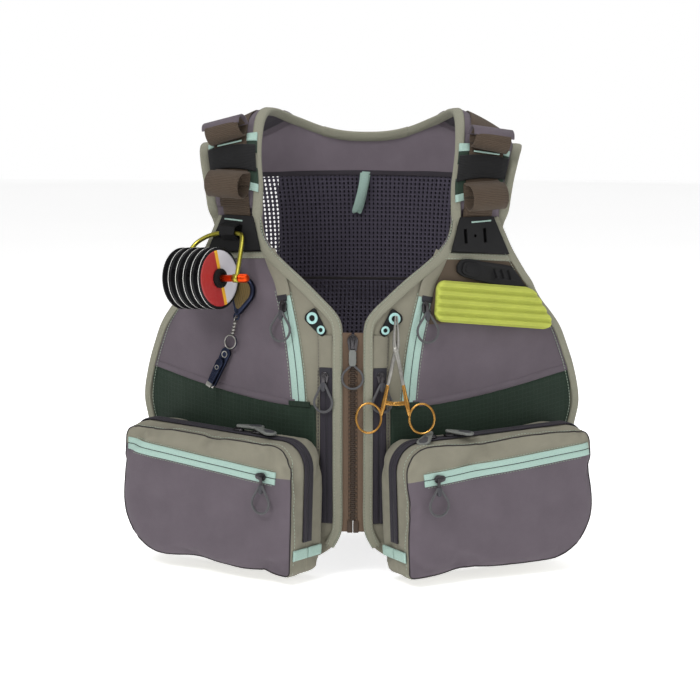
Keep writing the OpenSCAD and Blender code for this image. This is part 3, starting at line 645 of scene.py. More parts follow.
ZIP_BROWN = ribbed("brown_tape", rgb(100, 82, 68), 0.9, 0.12, 0.9, 0.8)
WEBBING = ribbed("brown_webbing", rgb(78, 66, 55), 1.7, 0.4, 0.9, 0.8)
BLACK_WEB = ribbed("black_webbing", rgb(26, 26, 27), 1.5, 0.3, 0.9, 0.7)
BLACK = moulded("black_moulding", rgb(26, 26, 28), 0.5)
COIL = moulded("zip_coil", rgb(40, 39, 44), 0.45)
TEETH = moulded("brown_teeth", rgb(60, 48, 39), 0.4)
PALE_THREAD = moulded("pale_thread", rgb(140, 152, 138), 0.8)
PLUM_THREAD = moulded("plum_thread", rgb(132, 122, 130), 0.8)
DARK_THREAD = moulded("dark_thread", rgb(60, 56, 60), 0.8)
MESH = moulded("back_mesh", rgb(70, 66, 78), 0.75, 0.15)


# ---- camera, floor and light ----

CAMERA_AZIMUTH = 4
CAMERA_ELEVATION = 8
CAMERA_FAR = 2.6
LOOK_AT = Vector((0, -0.060, -0.222))
LENS = 136.4
FLOOR = 5000


def studio():
    a, e = math.radians(CAMERA_AZIMUTH), math.radians(CAMERA_ELEVATION)
    out = Vector((math.sin(a) * math.cos(e), -math.cos(a) * math.cos(e), math.sin(e)))
    right = Vector((math.cos(a), math.sin(a), 0))
    up = out.cross(right)
    aim = LOOK_AT - right * 0.0069 - up * 0.0049
    data = bpy.data.cameras.new("camera")
    data.lens = LENS
    data.sensor_width = 36
    cam = bpy.data.objects.new("camera", data)
    cam.location = aim + out * CAMERA_FAR
    cam.rotation_euler = (-out).to_track_quat("-Z", "Y").to_euler()
    bpy.context.scene.collection.objects.link(cam)
    bpy.context.scene.camera = cam

    floor_z = cad_box[0][2] * 1000 - 4
    rows = [[np.array([x, y, floor_z]) for x in (-FLOOR, 0, FLOOR)] for y in (-FLOOR, 0, FLOOR)]
    verts, faces = grid_shell(rows, [[p - np.array([0, 0, 20]) for p in row] for row in rows])
    n = Nodes("pale_floor")
    n.link(n.ramp(n.noise(n.place(False), 3, 2), [(0.3, (0.93, 0.93, 0.93, 1)), (0.7, (0.96, 0.96, 0.96, 1))]),
           n.shader.inputs["Base Color"])
    n.shader.inputs["Roughness"].default_value = 0.9
    n.shader.inputs["Emission Color"].default_value = (1, 1, 1, 1)
    n.shader.inputs["Emission Strength"].default_value = 0.6
    floor = make("floor", verts, faces, n.mat)

    world = bpy.data.worlds.new("studio")
    world.use_nodes = True
    tree = world.node_tree
    sky = tree.nodes["Background"]
    sky.inputs["Color"].default_value = (1, 1, 1, 1)
    sky.inputs["Strength"].default_value = 0.42
    seen = tree.nodes.new("ShaderNodeBackground")
    seen.inputs["Color"].default_value = (1, 1, 1, 1)
    pick = tree.nodes.new("ShaderNodeMixShader")
    ray = tree.nodes.new("ShaderNodeLightPath")
    tree.links.new(ray.outputs["Is Camera Ray"], pick.inputs["Fac"])
    tree.links.new(sky.outputs[0], pick.inputs[1])
    tree.links.new(seen.outputs[0], pick.inputs[2])
    tree.links.new(pick.outputs[0], tree.nodes["World Output"].inputs["Surface"])
    bpy.context.scene.world = world
    for name, place, size, power in (("key", (-0.9, -1.7, 1.5), 1.0, 28), ("fill", (1.6, -1.5, 0.5), 1.6, 9),
                                     ("top", (0.1, 0.3, 1.9), 1.8, 24)):
        light = bpy.data.lights.new(name, "AREA")
        light.size = size
        light.energy = power
        lamp = bpy.data.objects.new(name, light)
        lamp.location = place
        lamp.rotation_euler = (Vector((0, 0, -0.22)) - Vector(place)).to_track_quat("-Z", "Y").to_euler()
        bpy.context.scene.collection.objects.link(lamp)
    bpy.context.scene.view_settings.view_transform = "Standard"


studio()


# ---- front halves ----

def row_grid(rows, down, across, d, seed, hem=None):
    """Points of the front cloth; with hem, the rows sink so that the last one follows that line."""
    grid = []
    top, low = rows[0][0], rows[-1][0]
    for r in smooth(rows, down):
        sunk = ease((top - r[0]) / (top - low))
        row = []
        for j in range(across + 1):
            x = mix(r[1], r[2], j / across)
            z = r[0] + (hem(x) - low) * sunk if hem else r[0]
            row.append(front(x, z, d, seed))
        grid.append(row)
    return grid


def patch(name, rows, d0, d1, mats, body, side, down=60, across=30, lining=0, seed=3.0, hem=None):
    """Cloth on the front half, between two depths."""
    outer = row_grid(rows, down, across, d1, seed, hem)
    inner = row_grid(rows, down, across, d0, seed, hem)
    return sheet_piece(name, outer, inner, mats, body, mirror(side), lining), outer


def seam_z(x):
    """Height of the seam between the chest canvas and the ripstop."""
    return mix(SEAM_IN, SEAM_OUT, clip((x - 60) / 145, 0, 1) ** 1.5)


def front_half(word, side):
    body = "front_" + word
    seed = 3.0 if side > 0 else 7.0
    panel, skin = patch("front_panel_cloth_" + word, FRONT_ROWS, 0, PANEL, [TAUPE, LINING], body, side, 110, 44, 1,
                        seed)
    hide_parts("front_panel_" + word)
    chest, chest_skin = patch("chest_canvas_" + word, CHEST_ROWS, LAYER, LAYER + CLOTH, PLUM, body, side, 60, 30, 0,
                              seed, seam_z)
    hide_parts("chest_cloth_" + word)

    across, down = 44, 26

    def ripstop_grid(d):
        rows = []
        for i in range(down + 1):
            row = []
            for j in range(across + 1):
                t = j / across
                x = mix(36, 209 - 9 * clip((i - 14) / 12, 0, 1), t)
                top = seam_z(x)
                z = mix(top, -398 - 12 * (1 - t), i / down)
                pucker = 0.7 * math.sin(x * 0.55 + side) * math.exp(-(top - z) / 9)
                row.append(front(x, z, d + pucker, seed))
            rows.append(row)
        return rows
    green_skin = ripstop_grid(LAYER + CLOTH)
    green = sheet_piece("ripstop_cloth_" + word, green_skin, ripstop_grid(LAYER - 0.8), RIPSTOP, body, mirror(side))
    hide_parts("ripstop_" + word)

    hem = [(x, seam_z(x) + 1.5) for x in np.linspace(57, 207, 9)]
    points, normals = front_path(hem, LAYER + CLOTH, 60, seed)
    fold = sweep("chest_hem_" + word, points, normals, [(-3.5, -0.6), (3.2, -0.6), (3.5, 0.3), (2.6, 1.0), (-3, 0.7)],
                 PLUM, body, mirror(side))

    last = len(FRONT_ROWS) - 2
    neck = [(FRONT_ROWS[i][1] - 2.4 * ease((-FRONT_ROWS[i][0] - 165) / 35), FRONT_ROWS[i][0])
            for i in range(last + 1)]
    arm = [(FRONT_ROWS[i][2], FRONT_ROWS[i][0]) for i in range(last)]
    for name, line, inward in (("neck", neck, 1), ("arm", arm, -1)):
        points, normals = front_path(line, 0, 150 if name == "neck" else 100, seed)
        wide = EDGE_W + (1.4 if inward > 0 else 0)
        w = -wide * inward
        profile = [(w, 3.0), (w, TRIM + 0.5), (w * 0.93, TRIM + 0.95), (w * 0.5, TRIM + 1.1), (w * 0.12, TRIM + 0.9),
                   (0.3 * inward, TRIM), (0.6 * inward, 3.4), (0.5 * inward, 0.4), (-0.2 * inward, -0.9),
                   (w * 0.4, -1.2), (w, -1.0)]
        if inward < 0:
            profile.reverse()
        piece = sweep("binding_%s_%s" % (name, word), points, normals, profile, BINDING, body, mirror(side))
        for row, inset in (("outer", 1.2), ("inner", wide - 1.2)):
            seam = [front(x + inward * inset, z, TRIM + 1.05, seed) for x, z in smooth(line, 150)]
            run = stitches("binding_stitch_%s_%s_%s" % (name, row, word), seam, normals_like(seam, normals),
                           PALE_THREAD, body, mirror(side), 3.0, 0.45)
    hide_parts("front_binding_" + word)
    return seed


def normals_like(points, normals):
    """Normals spread over another number of points."""
    n = np.array(normals, float)
    at = np.linspace(0, len(n) - 1, len(points))
    return [n[int(round(i))] for i in at]


# ---- pockets ----

def outline_circles():
    return [(6, 6, 6), (POCKET_W - 52, 52, 52), (POCKET_W - 18, POCKET_H - 18, 18), (26, POCKET_H - 26, 26)]


def pocket_outline(inset=0.0, step=4.2):
    """Points round the pocket from the middle of its inner bottom corner: the hull of four circles."""
    circles = [(x, z, r - inset) for x, z, r in outline_circles()]
    points = []
    for i, (x, z, r) in enumerate(circles):
        px, pz, pr = circles[i - 1]
        nx, nz, nr = circles[(i + 1) % 4]

        def outward(ax, az, ar, bx, bz, br):
            way = math.atan2(bz - az, bx - ax)
            return way - math.pi / 2 + math.asin(clip((ar - br) / math.hypot(bx - ax, bz - az), -1, 1))
        a0 = outward(px, pz, pr, x, z, r)
        a1 = outward(x, z, r, nx, nz, nr)
        while a1 < a0:
            a1 += 2 * math.pi
        for k in range(13):
            a = mix(a0, a1, k / 12)
            points.append((x + r * math.cos(a), 0, z + r * math.sin(a)))
    return resample(points, step, closed=True)


def pocket_half(word, side, front_side):
    """One clamshell half of a pocket, in the pocket's frame: gusset walls and a full face, sewn of cloth.
    Front half towards -Y. Returns a tree of its outer skin in the pocket's frame."""
    way = -1 if front_side else 1
    columns, rows_n = 46, 29
    loop = pocket_outline(0.0, 1.0)
    n = len(loop)
    bl = int(np.argmin(np.hypot(loop[:, 0] - 2, loop[:, 2] - 2)))
    br = int(np.argmin(np.hypot(loop[:, 0] - (POCKET_W - 16), loop[:, 2] - 16)))
    tr = int(np.argmin(np.hypot(loop[:, 0] - (POCKET_W - 5), loop[:, 2] - (POCKET_H - 5))))
    tl = int(np.argmin(np.hypot(loop[:, 0] - 8, loop[:, 2] - (POCKET_H - 8))))

    def arc(a, b, count):
        if b <= a:
            b += n
        line = np.array([loop[k % n] for k in range(a, b + 1)])
        return resample(line, np.linalg.norm(np.diff(line, axis=0), axis=1).sum() / count)[:count + 1]
    bottom = arc(bl, br, columns)
    right = arc(br, tr, rows_n)
    top = arc(tr, tl, columns)[::-1]
    left = arc(tl, bl, rows_n)[::-1]
    centre = loop.mean(axis=0)
    depth = POCKET_D / 2
    edge_round = 5.0
    grid = np.zeros((rows_n + 1, columns + 1, 3))
    for i in range(rows_n + 1):
        v = i / rows_n
        for j in range(columns + 1):
            u = j / columns
            c = (1 - v) * bottom[j] + v * top[j] + (1 - u) * left[i] + u * right[i] \
                - ((1 - u) * (1 - v) * bottom[0] + u * (1 - v) * bottom[-1] + (1 - u) * v * top[0] + u * v * top[-1])
            grid[i, j] = c
    shrink = 0.985
    zip_row = 23
    if front_side:
        for j in range(columns + 1):
            low, seam, high = grid[0, j, 2], grid[zip_row, j, 2], grid[rows_n, j, 2]
            wanted = face_zip_z(grid[zip_row, j, 0])
            for i in range(rows_n + 1):
                z = grid[i, j, 2]
                if i <= zip_row:
                    grid[i, j, 2] = low + (z - low) * (wanted - low) / (seam - low)
                else:
                    grid[i, j, 2] = high - (high - z) * (high - wanted) / (high - seam)
    verts, lay, index = [], [], {}
    seed = (5.0 if side > 0 else 2.0) + (0 if front_side else 20)
    for i in range(rows_n + 1):
        for j in range(columns + 1):
            x, _, z = grid[i, j]
            inner = min(i, rows_n - i) / (rows_n / 2), min(j, columns - j) / (columns / 2)
            crown = (1 - (1 - min(1, inner[0] * 1.6)) ** 2) * (1 - (1 - min(1, inner[1] * 1.9)) ** 2)
            dent = noise.noise((x * 0.02, z * 0.03, seed)) * 2.2 * crown
            y = depth - 1.6 + 2.4 * crown + dent
            sx, sz = centre[0] + (x - centre[0]) * shrink, centre[2] + (z - centre[2]) * shrink
            index[i, j] = len(verts)
            verts.append((sx, way * y, sz))
            lay.append((x, z))
    faces, which = [], []
    for i in range(rows_n):
        for j in range(columns):
            quad = (index[i, j], index[i, j + 1], index[i + 1, j + 1], index[i + 1, j])
            faces.append(quad if front_side else tuple(reversed(quad)))
            which.append(0 if front_side and i < zip_row else 1)
    ring = [(0, j) for j in range(columns)] + [(i, columns) for i in range(rows_n)] \
        + [(rows_n, columns - j) for j in range(columns)] + [(rows_n - i, 0) for i in range(rows_n)]
    levels = [depth - 5.5, depth - 10, depth - 15, depth - 20, 3.0, 0.25]
    previous = [index[k] for k in ring]
    run = np.concatenate([[0], np.cumsum([np.linalg.norm(grid[ring[k]] - grid[ring[k - 1]])
                                          for k in range(1, len(ring))])])
    pinned = []
    for level, y in enumerate(levels):
        current = []
        for k, spot in enumerate(ring):
            x, _, z = grid[spot]
            out = 0.985 + 0.012 * math.sin(math.pi * clip(y / depth, 0, 1))
            if y < 8:
                out = 0.995
            current.append(len(verts))
            verts.append((centre[0] + (x - centre[0]) * out, way * y, centre[2] + (z - centre[2]) * out))
            lay.append((run[k], y))
            if y < 8:
                pinned.append(current[-1])
        for k in range(len(ring)):
            a, b = previous[k], previous[(k + 1) % len(ring)]
            c, d = current[(k + 1) % len(ring)], current[k]
            faces.append((b, a, d, c) if front_side else (a, b, c, d))
            which.append(1)
        previous = current
    name = "pocket_%s_%s" % ("cover_cloth" if front_side else "back_cloth", word)
    obj = make(name, verts, faces, [PLUM, TAUPE, LINING], None, None, lay, which)
    inflate(obj, pinned, 2.6, 4.0, grow=0.035)
    soften(obj, 1)
    skin = np.zeros(len(obj.data.vertices) * 3)
    obj.data.vertices.foreach_get("co", skin)
    skin = skin.reshape(-1, 3) / MM
    tree = BVHTree.FromPolygons([Vector(p) for p in skin], [tuple(p.vertices) for p in obj.data.polygons])
    add_modifier(obj, "SOLIDIFY", thickness=1.6 * MM, offset=-1.0, material_offset=2, material_offset_rim=0)
    apply_all(obj)
    place(obj, in_pocket(side))
    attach(obj, ("pocket_cover_" if front_side else "front_") + word)
    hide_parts(("pocket_cover_" if front_side else "pocket_back_") + word)
    return tree


def place(obj, at):
    """Moves a mesh made in a part's own frame to where the part is; a mirrored one is turned outside in."""
    m = np.array(at)
    move = Matrix(m)
    move.translation *= MM
    obj.data.transform(move)
    if np.linalg.det(m[:3, :3]) < 0:
        obj.data.flip_normals()
    return obj


def onto(tree, points, lift=0.0, near=True):
    """Points moved to the nearest place on a skin, and its normals there."""
    spots, normals = [], []
    for p in points:
        hit, normal, _, _ = tree.find_nearest(Vector(p))
        spots.append(np.array(hit) + np.array(normal) * lift)
        normals.append(np.array(normal))
    n = np.array(normals)
    n = (np.roll(n, 1, 0) + n * 2 + np.roll(n, -1, 0)) / 4 if len(n) > 4 else n
    n[0], n[-1] = normals[0], normals[-1]
    return spots, [unit(v) for v in n]


def through(tree, points, lift=0.0):
    """Points dropped on the pocket's face along Y from in front of it."""
    spots, normals = [], []
    for x, z in points:
        hit, normal, _, _ = tree.ray_cast(Vector((x, -80, z)), Vector((0, 1, 0)))
        if hit is None:
            hit, normal, _, _ = tree.find_nearest(Vector((x, -POCKET_D / 2, z)))
        spots.append(np.array(hit) + np.array(normal) * lift)
        normals.append(np.array(normal))
    return spots, normals


def coil_zip(name, points, normals, tape, w, body, at=None, split=0.8):
    """Coil zip along a path: two halves of tape that nearly meet over a sunk dark coil."""
    t = directions(points)
    pieces = []
    half = (w - split) / 2
    for s in (-1, 1):
        shifted = [np.array(p) + np.cross(d, n) * s * (half + split) / 2 for p, d, n in zip(points, t, normals)]
        pieces.append(sweep(name + "_tape_%d" % (s > 0), shifted, normals, flat_tape(half, -0.3, 0.9), tape, body, at))
    fine = resample(points, 0.75)
    spread = normals_like(fine, normals)
    low = [p - np.array(n) * 0.1 for p, n in zip(fine, spread)]
    coil = sweep(name + "_coil", low, spread, [(-split, -0.5), (split, -0.5), (split, 0.3), (0, 0.55), (-split, 0.3)],
                 COIL, body, at)
    k = 5
    co = np.zeros(len(coil.data.vertices) * 3)
    coil.data.vertices.foreach_get("co", co)
    co = co.reshape(-1, k, 3)
    middle = co.mean(axis=1, keepdims=True)
    co[::2] = middle[::2] + (co[::2] - middle[::2]) * 1.22
    coil.data.vertices.foreach_set("co", co.ravel())
    pieces.append(coil)
    return pieces


def face_zip_z(x):
    """Height of the face zip's centre line."""
    return POCKET_H - FACE_ZIP_AT[1] + (x - FACE_ZIP_AT[0]) * math.tan(math.radians(FACE_ZIP_RISE))


def pocket_trims(word, side, skin):
    """Piping, zips, tab and stitching on a pocket."""
    at = in_pocket(side)
    cover_body, back_body = "pocket_cover_" + word, "front_" + word
    depth = POCKET_D / 2
    rim = pocket_outline(1.6, 2.4)
    rim[:, 1] = -(depth - 1.4)
    points, normals = onto(skin, rim, 0.2)
    piping = sweep("piping_" + word, points, normals, oval(1.2, 1.4, 8), PIPING, cover_body, at, closed=True)
    seam = pocket_outline(-0.2, 2.4)
    seam[:, 1] = -(depth - 6.0)
    points, normals = onto(skin, seam)
    run = stitches("piping_stitch_" + word, points, normals, PALE_THREAD, cover_body, at, 3.4, 0.45)

    band = [(x, face_zip_z(x)) for x in np.linspace(17, POCKET_W - 5, 60)]
    points, normals = through(skin, band, 0.35)
    coil_zip("face_zip_" + word, points, normals, MINT, 12, cover_body, at)
    for drop in (-7.4, 7.2):
        line = [(x, z + drop) for x, z in band[1:-2]]
        points, normals = through(skin, line, 0.05)
        run = stitches("face_zip_stitch_%s_%d" % (word, drop > 0), points, normals, PALE_THREAD, cover_body, at, 3.2,
                       0.5)

    main = pocket_outline(-0.6, 1.5)
    keep = [k for k in range(len(main)) if main[k, 2] > POCKET_ZIP_END]
    start = max(range(len(keep) - 1), key=lambda i: keep[i + 1] - keep[i]) + 1 \
        if any(keep[i + 1] - keep[i] > 1 for i in range(len(keep) - 1)) else 0
    order = keep[start:] + keep[:start]
    path = main[order]
    out = [unit(n) for n in outward_normals(path)]
    for half, body, way in (("front", cover_body, -1), ("back", back_body, 1)):
        line = path + np.array([0, way * 3.6, 0])
        tape = sweep("main_zip_%s_%s" % (half, word), line, out, flat_tape(6.0, -0.4, 1.1), SLATE, body, at)
        if half == "back":
            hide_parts("pocket_zip_" + word)
        coil_line = resample(path + np.array([0, way * 1.1, 0]), 0.8)
        spread = normals_like(coil_line, out)
        coil = sweep("main_coil_%s_%s" % (half, word), coil_line, spread, oval(1.7, 1.9, 6), COIL, body, at)

    for half, body, way in (("front", cover_body, -1), ("back", back_body, 1)):
        line = [np.array([-1.2, way * y, 22.0]) for y in np.linspace(0.8, depth - 4, 14)]
        tab = sweep("corner_tab_%s_%s" % (half, word), line, [np.array([-1.0, 0, -0.05])] * 14,
                    flat_tape(10, -0.8, 1.2), MINT, body, at)


def outward_normals(path):
    """Normals that point out of an anticlockwise outline in the XZ plane."""
    d = directions(path)
    return [np.array([v[2], 0, -v[0]]) for v in d]


PIPING = ribbed("piping", rgb(44, 40, 42), 1.2, 0.2, 0.8, 0.7)




# ---- back ----

def back(x, z, d):
    return np.array([x, back_y(x, z) + d, z])


def half_width(z):
    zs = [-r[0] for r in BACK_ROWS]
    if -z <= zs[0]:
        return BACK_ROWS[0][1]
    rows = smooth(BACK_ROWS, 60)
    return float(np.interp(-z, [-r[0] for r in rows], [r[1] for r in rows]))


MESH_LOW = -256
MESH_COLUMNS = 62
MESH_PITCH = 4.3


def mesh_panel():
    """Airy knit of the back, with a hole in each cell."""
    top = -60.0
    rows_n = int((top - MESH_LOW) / MESH_PITCH)
    t = 1.3
    verts, faces = [], []
    corner = {}

    def spot(x, z, d):
        verts.append(back(x, z, d))
        return len(verts) - 1
    for i in range(rows_n + 1):
        z = top - i * MESH_PITCH
        w = half_width(z)
        for j in range(MESH_COLUMNS + 1):
            x = mix(-w, w, j / MESH_COLUMNS)
            corner[i, j] = (spot(x, z, t), spot(x, z, 0))
    ring = [math.radians(a) for a in (30, 90, 150, 210, 270, 330)]
    for i in range(rows_n):
        z = top - (i + 0.5) * MESH_PITCH
        w = half_width(z)
        pitch = 2 * w / MESH_COLUMNS
        for j in range(MESH_COLUMNS):
            x = mix(-w, w, (j + 0.5) / MESH_COLUMNS)
            hole = [[spot(x + math.cos(a) * pitch * 0.25, z + math.sin(a) * MESH_PITCH * 0.36, d) for a in ring]
                    for d in (t, 0)]
            for s in (0, 1):
                tl, tr, br, bl = (corner[k][s] for k in ((i, j), (i, j + 1), (i + 1, j + 1), (i + 1, j)))
                h = hole[s]
                cells = [(tr, tl, h[2], h[1], h[0]), (tl, bl, h[3], h[2]), (bl, br, h[5], h[4], h[3]),
                         (br, tr, h[0], h[5])]
                faces += cells if s == 1 else [tuple(reversed(c)) for c in cells]
            for k in range(6):
                m = (k + 1) % 6
                faces.append((hole[0][k], hole[0][m], hole[1][m], hole[1][k]))
    for i in range(rows_n):
        for j, flip in ((0, False), (MESH_COLUMNS, True)):
            q = (corner[i, j][0], corner[i, j][1], corner[i + 1, j][1], corner[i + 1, j][0])
            faces.append(tuple(reversed(q)) if flip else q)
    for j in range(MESH_COLUMNS):
        for i, flip in ((0, True), (rows_n, False)):
            q = (corner[i, j][0], corner[i, j][1], corner[i, j + 1][1], corner[i, j + 1][0])
            faces.append(tuple(reversed(q)) if flip else q)
    return make("back_mesh_knit", verts, faces, MESH, "back")


def back_sheet(name, rows, d0, d1, mat, down, across, bulge=None):
    def skin(d, full):
        grid = []
        for r in smooth(rows, down):
            line = []
            for j in range(across + 1):
                x = mix(-r[1], r[1], j / across)
                more = bulge(x, r[0]) if bulge and full else 0
                line.append(back(x, r[0], d + more))
            grid.append(line)
        return grid
    outer = skin(d1, True)
    return sheet_piece(name, outer, skin(d0, False), mat, "back"), outer


def back_edge(name, line, normals, w, side_in, low=-1.4):
    profile = [(w * side_in, low), (w * side_in, 3.4), (w * side_in * 0.5, 3.9), (0, 3.2), (-0.9 * side_in, 1),
               (0, low + 0.2)]
    if side_in < 0:
        profile.reverse()
    return sweep(name, line, normals, profile, BINDING, "back")


def nape():
    """Yoke with its binding, mesh, outer lining, pocket and hang loop."""
    knit = mesh_panel()
    low = [r for r in smooth(BACK_ROWS, 80) if r[0] < MESH_LOW + 2]
    plain, skin = back_sheet("back_lower_cloth", low, 0, 1.6, LINING, 30, 40)
    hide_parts("back_panel")

    across, down = 72, 16

    def yoke(d):
        grid = []
        for i in range(down + 1):
            row = []
            for j in range(across + 1):
                x = mix(-134, 134, j / across)
                z = mix(yoke_top(x) - 1, -66, i / down)
                row.append(back(x, z, d + 0.8 * noise.noise((x * 0.03, z * 0.04, 4))))
            grid.append(row)
        return grid
    yoke_skin = yoke(PANEL + 1)
    cloth = sheet_piece("yoke_cloth", yoke_skin, yoke(-0.6), YOKE, "back")
    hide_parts("back_yoke")
    points = [back(x, yoke_top(x), 1.5) for x in np.linspace(-42, 42, 60)]
    normals = [np.array([0, 1, 0.25])] * len(points)
    band = back_edge("neck_binding", points, normals, 8, -1, -3.4)
    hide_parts("back_binding")
    seam = [back(x, -64, -0.9) for x in np.linspace(-130, 130, 120)]
    tape = sweep("yoke_seam", seam, [np.array([0, -1, 0])] * 120, flat_tape(5, -0.6, 0.6), LINING, "back")

    for word, side in SIDES.items():
        edge = [(r[1], r[0]) for r in smooth(BACK_ROWS, 60)]
        points = [back(side * x, z, 1.5) for x, z in edge]
        normals = [np.array([side * 0.45, 1, 0])] * len(points)
        piece = back_edge("back_side_binding_" + word, points, normals, BINDING_W, 1 if side > 0 else -1)
    hem = [back(x, -396, 1.5) for x in np.linspace(-197, 197, 120)]
    piece = back_edge("back_hem_binding", hem, [np.array([0, 1, 0])] * 120, BINDING_W, 1)

    liner, liner_skin = back_sheet("back_outer_liner", [(-62, 90), (-110, 90), (-176, 90)], PANEL + 3, PANEL + 4,
                                   LINING, 20, 24)

    pocket_rows = [(-172, 92), (-190, 104), (-250, 116), (-330, 120), (-372, 114), (-384, 100)]

    def full(x, z):
        edge = min(1, (92 + 20 - abs(x)) / 30) if abs(x) < 112 else 0
        rim = min(1, max(0, (-174 - z) / 26), max(0, (z + 383) / 26))
        return 11.5 * ease(edge) * ease(rim) + 1.5 * noise.noise((x * 0.02, z * 0.02, 8))
    pouch, _ = back_sheet("back_pocket_cloth", pocket_rows, PANEL + 0.5, PANEL + 2, PLUM, 44, 48, full)
    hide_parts("back_pocket")
    band = [back(x, -200, PANEL + 3.2 + full(x, -200)) for x in np.linspace(-98, 98, 90)]
    up = [np.array([x * 0.006, 1, 0.1]) for x in np.linspace(-98, 98, 90)]
    coil_zip("back_pocket_zip", band, up, SLATE, 13, "back", None, 1.6)
    rows = smooth(pocket_rows, 60)
    loop = [back(r[1] - 1, r[0], PANEL + 2.6) for r in rows] + [back(-r[1] + 1, r[0], PANEL + 2.6) for r in rows[::-1]]
    trim = sweep("back_pocket_piping", resample(loop, 3, True), [np.array([0, 1, 0])] * len(resample(loop, 3, True)),
                 oval(3, 2.6, 8), PIPING, "back", closed=True)

    ribbon = [(-2.6, -63, 0), (-3.2, -72, 4.5), (-5.5, -84, 6.0), (-8.5, -95, 5.0), (-11, -103, 3.0), (-10.4, -104.5, 1.8),
              (-7, -95, 1.6), (-4, -82, 1.9), (-1.5, -70, 1.2), (-0.8, -63, 0.2)]
    path = [np.array([x, back_y(x, z) - 1.0 - d, z]) for x, z, d in smooth(ribbon, 60)]
    way = directions(path)
    sideways = unit([1, 0, 0.15])
    hang = sweep("hang_ribbon", path, [unit(np.cross(sideways, t)) for t in way], flat_tape(8.5, -0.25, 0.3), MINT,
                 "back")
    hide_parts("hang_loop")


# ---- shoulders ----

def pad(s, u, d=0.0):
    return pad_point(s, u) + d * pad_normal(s, u)


def pad_piece(name, s0, s1, u0, u1, d0, d1, mat, side, ns=16, nu=8, lean=0.0):
    def skin(d):
        return [[pad(mix(s0, s1, i / ns) + lean * (j / nu - 0.5), mix(u0, u1, j / nu), d) for j in range(nu + 1)]
                for i in range(ns + 1)]
    return sheet_piece(name, skin(d0), skin(d1), mat, "back", mirror(side))


